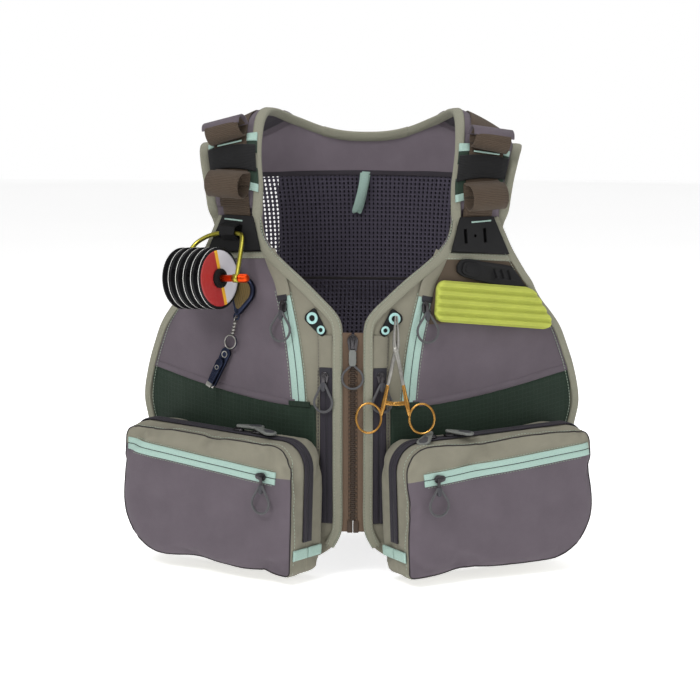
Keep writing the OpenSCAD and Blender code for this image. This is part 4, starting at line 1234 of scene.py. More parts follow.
def shoulder(word, side):
    ns, nu = 64, 16
    thick = PAD_T

    def fullness(s, u):
        across = 1 - abs(2 * u - 1) ** 4
        return across * min(1, (s + 0.25) / 0.4)

    def skin(top):
        grid = []
        for i in range(ns + 1):
            s = PAD_END * i / ns
            row = []
            for j in range(nu + 1):
                u = j / nu
                ripple = 0.5 * noise.noise((s * 2.4, u * 4, side * 3.0 + top))
                d = thick * (0.5 + 0.5 * fullness(s, u)) + ripple if top else thick * (0.32 - 0.32 * fullness(s, u))
                row.append(pad(s, u, d))
            grid.append(row)
        return grid
    top = skin(1)
    cushion = sheet_piece("shoulder_pad_cloth_" + word, top, skin(0), [PLUM, LINING], None, mirror(side), 1)
    count = (ns + 1) * (nu + 1)
    held = [i * (nu + 1) + j for i in range(ns + 1) for j in range(nu + 1)
            if j in (0, nu) or 0.2 < j / nu < 0.88 or i in (0, ns)]
    inflate(cushion, held + [k + count for k in held] + list(range(count, 2 * count)), 2.0, 1.2, grow=0.03)
    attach(cushion, "back")
    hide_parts("shoulder_pad_" + word)

    for u, name, s_end in ((0, "neck", 5.0), (1, "arm", 5.5)):
        spots = np.linspace(0, s_end, 11)
        line = [pad(s, u, thick * 0.4) for s in spots]
        normals = [pad_normal(s, mix(0.08, 0.92, u)) for s in spots]
        if u == 0:
            line = [(94, -71, -115), (92.3, -69.5, -103), *line, (71.5, 50, -4.2), (63, 60.5, -8.0)]
            line += [back(x, yoke_top(x), 1.5) for x in (52, 41)]
            normals = [normals[0]] * 2 + normals + [(0.2, 0.75, 0.6), (0.1, 0.95, 0.35), (0, 1, 0.25), (0, 1, 0.25)]
        else:
            line = [(132.5, -44, -105), (135, -43.5, -97), *line]
            normals = [normals[0]] * 2 + normals
        line = smooth([tuple(q) for q in line], 150)
        normals = [unit(q) for q in smooth([tuple(q) for q in normals], 150)]
        w = 7.6 * (1 if u == 0 else -1)
        sign = 1 if u == 0 else -1
        profile = [(w, 1.5), (w, 5.3), (w * 0.8, 5.3), (w * 0.3, 3.4), (-0.1 * sign, 1.6), (-0.4 * sign, 0),
                   (0, -1.8), (w * 0.4, -3.2), (w, -3.2)]
        flip = np.cross(unit(line[40] - line[39]), normals[40])
        inward = unit(pad(1.5, 0.5) - pad(1.5, u))
        if flip.dot(inward) < 0:
            profile = [(-a, b) for a, b in profile]
        if sum(a0 * b1 - a1 * b0 for (a0, b0), (a1, b1) in zip(profile, profile[1:] + profile[:1])) < 0:
            profile.reverse()
        piece = sweep("pad_binding_%s_%s" % (name, word), line, normals, profile, BINDING, "back", mirror(side))

    slide = 0.15 if side < 0 else -0.15
    web = pad_piece("shoulder_webbing_cloth_" + word, 0.02, 5.0, 0.24, 0.84, thick + 0.3, thick + 1.6, WEBBING, side, 70, 8)
    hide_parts("shoulder_webbing_" + word)
    for name, s, r, tip in (("low", 0.64 + slide, 13.0, 6.0), ("high", 2.3 + slide, 9.5, 5.0)):
        points, normals = [], []
        for k in range(48):
            a = 2 * math.pi * k / 48
            peak = math.exp(-((a - 0.62) / 0.42) ** 2)
            points.append(np.array([0, -r + r * math.cos(a) + 1.2 * peak, r * 0.94 * math.sin(a) + tip * peak]))
            normals.append(np.array([0, math.cos(a), math.sin(a)]))
        loop = sweep("webbing_loop_%s_%s" % (name, word), points, normals, flat_tape(36, -0.7, 0.7), WEBBING, "back",
                     mirror(side) @ on_pad(s, 0.54, thick + 2.2), closed=True)
    roll = [(0, -2, 11), (0, -9, 13.5), (0, -16, 10.5), (0, -19.5, 4), (0, -18.4, -1.5)]
    path = smooth(roll, 26)
    way = directions(path)
    lean = mirror(side) @ on_pad(2.3 + slide, 0.55, thick + 2.2) @ turn("Y", -5)
    flap = sweep("shoulder_flap_" + word, path, [np.cross([1, 0, 0], t) for t in way], flat_tape(41, -0.8, 1.0),
                 PLUM, "back", lean)

    band = pad_piece("shoulder_band_cloth_" + word, 1.2 + slide, 1.98 + slide, 0.06, 0.95, thick + 2.0, thick + 3.4, BLACK_WEB, side)
    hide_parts("shoulder_bands_" + word)
    for i, s in enumerate((0.57 + slide, 2.12 + slide)):
        for k, (u0, u1) in enumerate(((0.05, 0.24), (0.84, 0.95))):
            low, high = (s + 0.2, s + 0.75) if i == 0 else (s - 0.35, s)
            strip = pad_piece("pad_strip_%d%d_%s" % (i, k, word), low, high, u0, u1, thick * 0.9, thick + 0.9, GREEN_TAPE,
                              side, 6, 3)
            bar = pad_piece("pad_bar_%d%d_%s" % (i, k, word), s, s + 0.24, u0, u1, thick * 0.9, thick + 1.5, MINT, side,
                            5, 3)
    tack = [on_pad(2.06 + slide, 0.54, thick + 3.0) @ Vector((x, 0, 0)) for x in np.linspace(-13, 13, 30)]
    run = sweep("flap_bartack_" + word, tack, [-Vector(on_pad(2.06 + slide, 0.54, 0).col[1][:3])] * 30, oval(2.0, 1.4, 8), MINT,
                "back", mirror(side))

    for name, u0, u1, mat in (("cloth", 0.0, 1.0, PLUM), ):
        def bridge(d):
            rows = []
            for i in range(15):
                t = i / 14
                row = []
                for j in range(13):
                    u = j / 12
                    a = pad(5.1, u, thick * 0.5 + d)
                    x = mix(66, 134, u)
                    b = back(x, yoke_top(x) - 6 - 6 * u, 2.5 + d)
                    mid = (a + b) / 2 + np.array([0, 3, 4])
                    row.append((1 - t) ** 2 * a + 2 * t * (1 - t) * mid + t * t * b)
                rows.append(row)
            return rows
        joint = sheet_piece("shoulder_seam_%s_%s" % (name, word), bridge(2.2), bridge(-1.8), mat, "back", mirror(side))

    def drop(d):
        rows = []
        for i in range(17):
            t = i / 16
            row = []
            for j in range(13):
                u = j / 12
                a = pad(0.35, u, 3.0 + d)
                x = mix(91, 136, u)
                b = np.array([x, front_y(x, -108) - d + 1.0, -108])
                mid = pad(0, u, 2.0 + d)
                row.append((1 - t) ** 2 * a + 2 * t * (1 - t) * mid + t * t * b)
            rows.append(row)
        return rows
    def strap(d):
        rows = []
        for i in range(17):
            t = i / 16
            row = []
            for j in range(9):
                u = 0.22 + 0.58 * j / 8
                a = pad(0.5, u, thick + 1.8 + d)
                x = mix(102, 130, j / 8)
                b = np.array([x, front_y(x, -101) - 5.6 - d, -101])
                mid = pad(0, u, thick * 0.7 + 3 + d)
                row.append((1 - t) ** 2 * a + 2 * t * (1 - t) * mid + t * t * b)
            rows.append(row)
        return rows
    joint = sheet_piece("shoulder_strap_tail_" + word, strap(0.7), strap(-0.7), WEBBING, None, mirror(side))
    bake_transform(joint)
    tail = sheet_piece("shoulder_drop_" + word, drop(2.0), drop(-1.5), [PLUM, LINING], None, mirror(side), 1)
    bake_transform(tail)


GREEN_TAPE = ribbed("green_tape", rgb(44, 60, 50), 1.2, 0.15, 0.8, 0.8)



# ---- zips and their pulls ----

ZIP_METAL = metal("zip_metal", rgb(84, 82, 84), 0.24, tarnish=rgb(44, 42, 44))
PULL_CORD = ribbed("pull_cord", rgb(88, 88, 90), 0.9, 0.25, 0.7, 0.6, lay=True)
GRIP = moulded("pull_grip", rgb(62, 62, 66), 0.5)
PALE_GRIP = moulded("pull_moulding", rgb(104, 106, 103), 0.42)


def slab(name, outline, low, high, mat, at, edge=0.5, body=None, holes=()):
    """Plate of an outline in the XZ plane, from low to high towards -Y, with rounded edges."""
    n = len(outline)
    verts = [(x, -low, z) for x, z in outline] + [(x, -high, z) for x, z in outline]
    faces = [tuple(range(n))[::-1], tuple(range(n, 2 * n))]
    faces += [(i, (i + 1) % n, n + (i + 1) % n, n + i) for i in range(n)]
    flat = sum(outline[i][0] * outline[(i + 1) % n][1] - outline[(i + 1) % n][0] * outline[i][1] for i in range(n))
    if flat < 0:
        faces = [tuple(reversed(f)) for f in faces]
    obj = make(name, verts, faces, mat, None, at)
    round_edges(obj, edge, 3)
    obj.data.shade_smooth()
    if body:
        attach(obj, body)
    return obj


def arc(x, z, r, a0, a1, count=10):
    return [(x + r * math.cos(math.radians(mix(a0, a1, k / count))), z + r * math.sin(math.radians(mix(a0, a1, k / count))))
            for k in range(count + 1)]


def capsule(x0, z0, r0, x1, z1, r1, count=12):
    """Outline round two circles, the first above the second."""
    way = math.degrees(math.atan2(z1 - z0, x1 - x0))
    lean = math.degrees(math.asin(clip((r0 - r1) / math.hypot(x1 - x0, z1 - z0), -1, 1)))
    first = way - 90 + lean
    return arc(x1, z1, r1, first, first + 180 - 2 * lean, count) + arc(x0, z0, r0, first + 180 - 2 * lean, first + 360,
                                                                       count)


def lathe(name, profile, mat, at, body=None, segments=40, which=None):
    """Turned solid: profile holds radius and distance along the axis -Y, from the back centre to the front."""
    verts, faces, rings = [], [], []
    for r, h in profile:
        if r < 1e-6:
            rings.append([len(verts)])
            verts.append((0, -h, 0))
        else:
            rings.append(list(range(len(verts), len(verts) + segments)))
            verts += [(r * math.cos(2 * math.pi * k / segments), -h, r * math.sin(2 * math.pi * k / segments))
                      for k in range(segments)]
    picks = []
    for i, (a, b) in enumerate(zip(rings, rings[1:])):
        for k in range(segments):
            m = (k + 1) % segments
            if len(a) == 1:
                faces.append((a[0], b[k], b[m]))
            elif len(b) == 1:
                faces.append((a[k], b[0], a[m]))
            else:
                faces.append((a[k], b[k], b[m], a[m]))
            picks.append(which(i, k / segments) if which else 0)
    if len(rings[0]) > 1 and rings[0] and profile[0] == profile[-1]:
        pass
    obj = make(name, verts, faces, mat, None, at, which=picks if which else None)
    if body:
        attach(obj, body)
    return obj


def cord_path(r, drop, tip=2.0):
    """Drop-shaped loop that hangs from the origin in the XZ plane."""
    lean = math.degrees(math.asin((r - tip) / (drop - r - tip)))
    low = arc(0, r - drop, r, 180 - lean, 360 + lean, 22)
    high = arc(0, -tip, tip, lean, 180 - lean, 8)
    return [np.array([x, 0, z]) for x, z in low + high]


def cord_loop(name, r, drop, at, thick=2.5):
    points = resample(cord_path(r, drop), 1.0, closed=True)
    return sweep(name, points, [np.array([0, -1, 0])] * len(points), oval(thick, thick, 8), PULL_CORD, None, at,
                 closed=True)


def slider_parts(name, w, l, at):
    """Crown of a coil slider with its bail."""
    crown = slab(name + "_crown", capsule(0, l / 2 - w / 2, w / 2, 0, -l / 2 + w * 0.36, w * 0.36), 0, 1.8, ZIP_METAL,
                 at, 0.6)
    rib = slab(name + "_rib", capsule(0, l * 0.3, 1.5, 0, -l * 0.28, 1.0), 1.5, 2.6, ZIP_METAL, at, 0.4)
    bail_at = at @ shift(0, -1.6, l * 0.22) @ turn("Z", 90)
    bail = sweep(name + "_bail", [np.array([x, 0, z]) for x, z in arc(0, 0, 2.3, 180, 360, 12)][::-1],
                 [np.array([0, -1, 0])] * 13, oval(1.4, 1.4, 8), ZIP_METAL, None, bail_at @ turn("X", 90))
    return [crown, rib, bail]


def corded(name, node, body, at, w, l, r, drop, lean=12):
    """Slider with a link and a corded pull that hangs straight down."""
    parts = slider_parts(name, w, l, at @ turn("Y", lean))
    hang = at @ shift(0.6, -3.4, l * 0.22)
    parts.append(slab(name + "_link", capsule(0, -1, 1.5, 0, -7.6, 1.9), -0.2, 1.0, ZIP_METAL, hang, 0.4))
    parts.append(cord_loop(name + "_cord", r, drop, hang @ shift(0, -0.4, -7.4)))
    parts.append(slab(name + "_sleeve", capsule(0, -8.6, 2.3, 0, -13.5, 2.0), -1.2, 2.0, GRIP, hang, 0.9))
    obj = join(name, parts, body)
    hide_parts(node)
    return obj


def drop_pull(name, node, body, at, degrees, tilt):
    """Coil slider lying on the pocket's top seam, with a moulded drop-shaped pull."""
    flat = at @ turn("X", -90) @ turn("Y", 90)
    parts = slider_parts(name, 8, 12, flat)
    pull_at = at @ shift(-1, 0, 3.4) @ turn("Z", degrees) @ turn("Y", -tilt) @ turn("X", -90)
    parts.append(slab(name + "_pull", capsule(0, 0, 3.2, -18, 0, 6.8), 0, 2.6, PALE_GRIP, pull_at, 0.9))
    parts.append(slab(name + "_pull_face", capsule(-12, 0, 2.4, -18, 0, 4.4), 2.4, 3.1, GRIP, pull_at, 0.3))
    obj = join(name, parts, body)
    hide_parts(node)
    return obj


def small_zips(word, side, seed):
    body = "front_" + word
    at = mirror(side)
    points, normals = front_path(CHEST_ZIP, LAYER + 0.5, 70, seed)
    pieces = coil_zip("chest_zip_" + word + "_piece", points, normals, MINT, TAPE_W, body, at)
    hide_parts("chest_zip_" + word)
    for s in (-1, 1):
        line = [(x + s * 8.0, z) for x, z in smooth(CHEST_ZIP, 60)]
        points, normals = front_path(line, LAYER + CLOTH, 60, seed)
        run = stitches("chest_zip_stitch_%s_%d" % (word, s > 0), points, normals, PALE_THREAD, body, at, 3.3, 0.5)
    foot = [(42, seam_z(42) + 0.5), (52, seam_z(52) + 0.5), (63, seam_z(63) + 0.5)]
    points, normals = front_path(foot, LAYER + CLOTH + 0.9, 16, seed)
    hem = sweep("chest_zip_foot_" + word, points, normals, flat_tape(5, -0.6, 0.9), RIPSTOP, body, at)
    garage = [(84, -128), (78.5, -141), (73, -152), (69.6, -163), (68.2, -170)]
    points, normals = front_path(garage, LAYER + CLOTH + 0.6, 20, seed)
    hood = sweep("zip_garage_" + word, points, normals, flat_tape(14.5, -0.6, 0.8), TAUPE, body, at)
    # Dark plate painted as the shade in the opening under the zip garage, above the slider.
    mouth_shade = slab("zip_mouth_" + word, [(-5.0, -3.5), (5.0, -3.5), (6.0, 3), (-6.0, 3)], 0, 1.0, COIL,
                 at @ on_front(67.8, -172, LAYER + 1.0) @ turn("Y", 12), 0.4, body)
    corded("chest_slider_piece_" + word, "chest_slider_" + word, "chest_slider_" + word,
           at @ on_front(65.4, -180, LAYER + 2.7), 8, 12, 11, 29)

    points, normals = front_path(INNER_ZIP, LAYER + 0.5, 50, seed)
    pieces = coil_zip("inner_zip_" + word + "_piece", points, normals, SLATE, 13, body, at, 1.4)
    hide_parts("inner_zip_" + word)
    corded("inner_slider_piece_" + word, "inner_slider_" + word, "inner_slider_" + word,
           at @ on_front(25.5, -246, LAYER + 1.4), 8, 12, 9.2, 28, 0)
    points, normals = front_path([(26.5, -205), (26, -222), (25.6, -238.5)], PANEL + 0.6, 24, seed)
    hood = sweep("inner_zip_hood_" + word, points, normals, flat_tape(15.5, -0.5, 1.0), TAUPE, body, at)
    for s in (-1, 1):
        seam = [(26.5 + s * 7, -205), (26 + s * 7, -222), (25.6 + s * 7.2, -238), (25.5 + s * 8.2, -250),
                (25.5 + s * 8.2, -386)]
        points, normals = front_path(seam, PANEL + 0.9, 24, seed)
        run = stitches("inner_zip_seam_%s_%d" % (word, s > 0), points, normals, DARK_THREAD, body, at, 3.2, 0.45,
                       lift=0.75)
    # Dark plate painted as the shade in the opening under the inner zip's hood.
    mouth_shade = slab("inner_zip_mouth_" + word, [(-5.5, -7.5), (5.5, -7.5), (6, 2), (-6, 2)], 0, 1.1, COIL,
                 at @ on_front(25.6, -238, LAYER + 0.8), 0.5, body)


def front_zip():
    """Centre zip: tapes, interlocking moulded teeth, box and pin at the bottom, slider and pull."""
    y = -FRONT_DEPTH - 1
    pitch = 4.0
    for word, side in SIDES.items():
        body = "front_" + word
        at = mirror(side)
        line = [np.array([7.0, y - 0.2, z]) for z in np.linspace(-ZIP_BOTTOM - 1, -ZIP_TOP + 2, 90)]
        tape = sweep("front_zip_tape_" + word, line, [np.array([0, -1, 0])] * 90, flat_tape(11, -0.5, 0.7), ZIP_BROWN,
                     body, at)
        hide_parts("zip_chain_" + word)
        cord = [np.array([3.4, y - 0.4, z]) for z in np.linspace(-ZIP_BOTTOM + 10, -ZIP_TOP - 6, 80)]
        bead = sweep("front_zip_bead_" + word, cord, [np.array([0, -1, 0])] * 80, oval(2.2, 3.0, 8), ZIP_BROWN, body, at)
        count = int((ZIP_BOTTOM - ZIP_TOP - 30) / pitch)
        teeth = []
        shape = [(-2.0, -0.75), (-0.6, -1.0), (0.6, -0.7), (4.2, -1.0), (4.2, 1.0), (0.6, 0.7), (-0.6, 1.0), (-2.0, 0.75)]
        verts, faces = [], []
        for i in range(count + 1):
            z0 = -ZIP_TOP - 18 - i * pitch - (0 if side > 0 else pitch / 2)
            base = len(verts)
            n = len(shape)
            for depth, k in ((1.4, 0.86), (1.0, 1.0), (-1.6, 1.0), (-2.0, 0.86)):
                verts += [(1.1 + (a - 1.1) * k, y - 0.4 + depth, z0 + b * k) for a, b in shape]
            faces.append(tuple(base + j for j in range(n)))
            for ring in range(3):
                for j in range(n):
                    a, b = base + ring * n + j, base + ring * n + (j + 1) % n
                    faces.append((b, a, a + n, b + n))
            faces.append(tuple(base + 3 * n + j for j in reversed(range(n))))
        teeth = make("front_zip_teeth_" + word, verts, faces, TEETH, body, at, shade=False)
        box = slab("zip_box_" + word, [(0.3, -ZIP_BOTTOM - 2), (5.6, -ZIP_BOTTOM - 2), (5.6, -ZIP_BOTTOM + 10),
                                       (0.3, -ZIP_BOTTOM + 10)], -y - 2, -y + 2.2, TEETH, at, 0.7, body)
    at = shift(0, -FRONT_DEPTH - 2.7, -ZIP_TOP - 8)
    parts = []
    for d in (0, 6):
        parts.append(slab("front_slider_plate_%d" % d, capsule(0, 3, 5.2, 0, -5, 4.2), -d, 1.6 - d, ZIP_METAL, at, 0.5))
    parts.append(slab("front_slider_nose", [(-1.5, 2.4), (1.5, 2.4), (1.5, 7.4), (-1.5, 7.4)], -5.5, 1.0, ZIP_METAL, at,
                      0.4))
    parts.append(slab("front_slider_bridge", capsule(0, 5.6, 1.6, 0, -1.5, 1.3), 1.2, 4.6, ZIP_METAL, at, 0.7))
    body = join("front_slider_piece", parts, "front_slider")
    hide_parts("front_slider")
    pull_at = shift(0, -FRONT_DEPTH - 5.9, -ZIP_TOP - 4)
    parts = []
    ring = [np.array([x, 0, z]) for x, z in capsule(0, 0, 2.4, 0, -9.5, 2.8, 8)]
    parts.append(sweep("front_pull_eye", ring, [np.array([0, -1, 0])] * len(ring), oval(1.5, 1.7, 8), ZIP_METAL, None,
                       pull_at, closed=True))
    parts.append(slab("front_pull_tab", [(-2.6, -10), (2.6, -10), (3.5, -13), (3.5, -23), (2.4, -25.5), (-2.4, -25.5),
                                         (-3.5, -23), (-3.5, -13)], -1.2, 1.2, PALE_GRIP, pull_at, 0.6))
    parts.append(cord_loop("front_pull_cord", 10, 23, pull_at @ shift(0, 0, -24.6), 2.2))
    pull = join("front_pull_piece", parts, "front_slider_pull")
    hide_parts("front_slider_pull")


def pocket_pulls(word, side, skin):
    at = in_pocket(side)
    spots, _ = through(skin, [(x, face_zip_z(x)) for x in (22, 32, 42, 60)])
    y = min(p[1] for p in spots[:3])
    place_at = at @ shift(32, y - 1.9, face_zip_z(32))
    parts = slider_parts("cover_slider_" + word, 8, 12, place_at @ turn("Y", -90))
    hang = place_at @ shift(-2.6, -3.0, 0)
    parts.append(slab("cover_link", capsule(0, -0.5, 1.5, 0, -8.4, 1.9), -0.2, 1.0, ZIP_METAL, hang, 0.4))
    parts.append(cord_loop("cover_cord", 10, 27, hang @ shift(0, -0.4, -8.2)))
    parts.append(slab("cover_sleeve", capsule(0, -9.4, 2.3, 0, -14.5, 2.0), -1.2, 2.0, GRIP, hang, 0.9))
    obj = join("cover_slider_piece_" + word, parts, "cover_slider_" + word)
    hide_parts("cover_slider_" + word)
    for kind, spots in (("outer", {"left": (62, 140, 6), "right": (84, -20, 0)}), ("inner", {"left": (42, 40, 17), "right": (62, 14, 4)})):
        x, degrees, tilt = spots[word]
        node = "pocket_slider_%s_%s" % (kind, word)
        drop_pull(node + "_piece", node, node, at @ shift(x, 0, POCKET_H + 2.0), degrees, tilt)


# ---- tabs, plates and tools ----

STEEL = metal("steel", rgb(176, 174, 168), 0.3, tarnish=rgb(120, 118, 114))
GOLD = metal("gold_steel", rgb(198, 152, 82), 0.22, tarnish=rgb(142, 98, 46))
NAVY = metal("dark_alloy", rgb(52, 58, 78), 0.3, tarnish=rgb(34, 38, 52))
BAIL_PAINT = metal("yellow_alloy", rgb(190, 182, 80), 0.28, tarnish=rgb(146, 138, 48))
ORANGE = metal("orange_alloy", rgb(222, 78, 28), 0.28, tarnish=rgb(190, 56, 18))
SPOOL = moulded("spool_plastic", rgb(20, 20, 22), 0.28, 0.02)
# Pale colour given to one flange rim of each spool.
SPOOL_RIM_PALE = moulded("pale_spool_rim", rgb(214, 214, 210), 0.6)
HUB_FOAM = moulded("hub_foam", rgb(18, 18, 18), 0.9, 0.2)
LIME = moulded("lime_foam", rgb(166, 173, 78), 0.85, 0.12)
EYELET = moulded("mint_eyelet", rgb(150, 188, 184), 0.35)
RETRACTOR_FACE = ribbed("retractor_face", rgb(96, 80, 46), 1.2, 0.3, 1.2, 0.5, lay=False)
RUBBER = moulded("black_rubber", rgb(20, 20, 21), 0.62)

BAIL_AT = (-124.9, -65.5, -112)
BAIL_YAW = -34
BAIL_ROLL = -4
BAIL_SWING = 40
BAIL_TUBE = 4.4
BAIL = [(36, -54), (21, -6), (14, 0), (-21, 0), (-41, -14), (-39, -54)]
STACK_AT = -9.5
SPOOL_PITCH = 9.6
SPOOLS = 5
RETRACTOR_AT = (-106, -168)
RETRACTOR_OUT = 5.2
BLADE_LEAN = 13
FORCEPS_AT = (41.5, -118, -186)
FORCEPS_TIP = 9
FORCEPS_L = 129
JAW_L = 32
RING_R = 12.5


def cut(obj, cutters):
    """Cuts shapes out of a mesh."""
    for c in cutters:
        add_modifier(obj, "BOOLEAN", object=c, operation="DIFFERENCE", solver="EXACT")
        apply_all(obj)
        bpy.data.objects.remove(c)
    return obj


def corner_cut(points, rounds=3):
    """Softens a line's corners by cutting them again and again."""
    p = [np.array(q, float) for q in points]
    for _ in range(rounds):
        q = [p[0]]
        for a, b in zip(p, p[1:]):
            q += [mix(a, b, 0.22), mix(a, b, 0.78)]
        p = q + [p[-1]]
    return p


def taper(name, points, sizes, mat, at, body=None, sides=10, flat=1.0):
    """Round bar whose thickness changes along a path."""
    p = np.array(points, float)
    w = np.interp(np.linspace(0, 1, len(p)), np.linspace(0, 1, len(sizes)), sizes)
    t = directions(p)
    verts = []
    for q, d, r in zip(p, t, w):
        side = unit(np.cross(d, [0, -1, 0]))
        up = np.cross(side, d)
        verts += [q + side * r * math.cos(2 * math.pi * k / sides) + up * r * flat * math.sin(2 * math.pi * k / sides)
                  for k in range(sides)]
    faces = [(i * sides + k, i * sides + (k + 1) % sides, (i + 1) * sides + (k + 1) % sides, (i + 1) * sides + k)
             for i in range(len(p) - 1) for k in range(sides)]
    faces += [tuple(reversed(range(sides))), tuple((len(p) - 1) * sides + k for k in range(sides))]
    return make(name, verts, faces, mat, body, at)


def torus(name, r, thick, mat, at, stretch=1.0):
    line = [np.array([r * math.cos(2 * math.pi * k / 40), 0, r * stretch * math.sin(2 * math.pi * k / 40)])
            for k in range(40)]
    return sweep(name, line, [np.array([0, -1, 0])] * 40, oval(thick, thick, 8), mat, None, at, closed=True)


def ball(name, r, mat, at):
    return lathe(name, [(r * math.sin(math.pi * k / 8), -r * math.cos(math.pi * k / 8)) for k in range(9)], mat, at,
                 segments=14)


def tabs(word, side, seed):
    """Tool tab with its eyelets, dock plate with its bar tack, and the strip sewn below the plate."""
    body = "front_" + word
    at = mirror(side) @ on_front(TAB_AT[0], TAB_AT[1], LAYER)
    outline = [(3.4, 14.6), (5.2, 13.9), (11.6, 8.8), (12.6, 7.2), (13, 3.8), (12.2, 1.9), (-3.9, -11.6), (-5.8, -12.2),
               (-7.2, -11.6), (-10, -8.6), (-10.2, -6.6), (-9.2, -5.4), (1.6, 13.7)]
    tab = slab("tool_tab_piece_" + word, outline, 0, 1.7, RUBBER, at, 0.5)
    parts = [tab]
    for k, (x, z, r, flange) in enumerate(EYELETS):
        cutter = lathe("hole", [(0, -3), (r, -3), (r, 4), (0, 4)], RUBBER, at @ shift(x, 0, z), segments=24)
        cut(tab, [cutter])
        ring = [(r, 0.2), (r, 2.2), (r + 0.5, 2.9), (flange - 0.7, 2.7), (flange, 1.9), (flange, 1.6), (r + 0.4, 1.5),
                (r, 0.2)]
        parts.append(lathe("eyelet_%d" % k, ring, EYELET, at @ shift(x, 0, z), segments=32))
        parts.append(lathe("eyelet_floor_%d" % k, [(0, 0.0), (r, 0.0), (r, 0.3), (0, 0.3)], RUBBER, at @ shift(x, 0, z),
                           segments=24))
    obj = join("tool_tab_with_eyelets_" + word, parts, body)
    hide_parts("tool_tab_" + word)

    plate = frame["nodes"]["dock_plate_" + word]
    plate.data.materials.clear()
    plate.data.materials.append(RUBBER)
    dock = [(-97, 93.5, 132), (-108, 91.5, 139), (-118, 87.5, 144), (-131, 78, 149)]
    backing, _ = patch("dock_backing_" + word, dock, LAYER + CLOTH, LAYER + CLOTH + 0.7, RUBBER, body, side, 16, 10, 0,
                       seed)
    tack_at = mirror(side) @ on_front(116, -101, TRIM + TRIM_T + 2.5)
    line = [tack_at @ Vector((x, 0, x * 0.04)) for x in np.linspace(-11, 11, 24)]
    out = [-Vector(tack_at.col[1][:3])] * 24
    tack = sweep("dock_bartack_" + word, line, out, oval(1.6, 1.2, 8), MINT, body)
    line = [(80, -131), (100, -132.5), (125, -134.5), (150, -137)]
    points, normals = front_path(line, LAYER + CLOTH + 0.6, 40, seed)
    strip = sweep("dock_strip_" + word, points, normals, flat_tape(6.5, -0.6, 0.9), BINDING, body, mirror(side))
    for s in (-1, 1):
        edge = [(x, z + s * 2.2) for x, z in smooth(line, 40)]
        points, normals = front_path(edge, LAYER + CLOTH + 1.5, 40, seed)
        run = stitches("dock_strip_stitch_%s_%d" % (word, s > 0), points, normals, PALE_THREAD, body, mirror(side))


def foam_and_magnet(seed):
    """Brown panel, magnet tab with its raised pad and slits, and the ridged foam, on the wearer's left."""
    body = "front_left"
    rows = [(-134, 82, 150), (-150, 78, 158), (-170, 75, 168), (-186, 73, 175), (-196, 72, 180)]
    panel, _ = patch("brown_panel", rows, LAYER + CLOTH, LAYER + CLOTH + 0.7, BROWN, body, 1, 24, 20, 0, seed)

    at = on_front(127, -151, TRIM + 0.4) @ turn("Y", 8)
    outline = corner_cut([(-38, -2), (-39, 4), (-35, 10), (-26, 12), (-10, 10.5), (20, 9.5), (24, 8), (42, -11),
                          (41, -14), (30, -13.5), (-8, -9), (-32, -6), (-38, -2)], 2)[:-1]
    tab = slab("magnet_tab_piece", [(p[0], p[1]) for p in outline], 0, 2.6, RUBBER, at, 0.7)
    cutters = [slab("slit", capsule(x - 1.6, 3.6, 1.2, x + 1.6, -3.4, 1.2), 0.8, 6, RUBBER, at, 0.1)
               for x in (4, 12, 20)]
    cut(tab, cutters)
    pad_outline = corner_cut([(-34, -1), (-33, 7), (-28, 9), (-16, 7.5), (-13, 3), (-16, -4), (-21, -5.5), (-31, -4),
                              (-34, -1)], 2)[:-1]
    raised = slab("magnet_pad", [(p[0], p[1]) for p in pad_outline], 2.2, 4.2, RUBBER, at, 0.8)
    inner = slab("magnet_pad_face", [(-23.5 + (p[0] + 23.5) * 0.66, 1.6 + (p[1] - 1.6) * 0.62) for p in pad_outline],
                 4.0, 4.8, RUBBER, at, 0.4)
    obj = join("magnet_tab_moulding", [tab, raised, inner], body)
    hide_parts("magnet_tab")

    at = on_front(129.5, -181, TRIM + TRIM_T + 0.4) @ turn("Y", 7)
    half = 66
    columns, rows_n = 70, 90
    top, low = 19.5, -20.5
    thick = 7.0
    ridges = 5

    def limits(z):
        """Left and right edge of the foam at a height, with round corners."""
        t = (z - low) / (top - low)
        right = mix(half, half - 24, clip((t - 0.22) / 0.78, 0, 1))
        r = 9.0
        inset = 0
        for edge in (top - z, z - low):
            if edge < r:
                inset = max(inset, r - math.sqrt(max(0, r * r - (r - edge) ** 2)))
        return -half + inset, right - inset
    outer, inner_rows = [], []
    for i in range(rows_n + 1):
        z = mix(top, low, i / rows_n)
        a, b = limits(clip(z, low + 0.02, top - 0.02))
        row, under = [], []
        for j in range(columns + 1):
            x = mix(a, b, j / columns)
            near = min(top - z, z - low, x - a, b - x)
            wave = math.cos(2 * math.pi * ridges * (z - low) / (top - low) + math.pi)
            crest = clip(wave * 1.5 + 0.45, -1, 1)
            d = thick - 1.25 + 1.25 * crest
            d -= 1.6 * (1 - ease(near / 2.2))
            row.append((x, -max(0.4, d), z))
            under.append((x, 0, z))
        outer.append(row)
        inner_rows.append(under)
    verts, faces = grid_shell(outer, inner_rows)
    foam = make("foam_ridges", verts, faces, LIME, body, at)
    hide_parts("foam_patch")


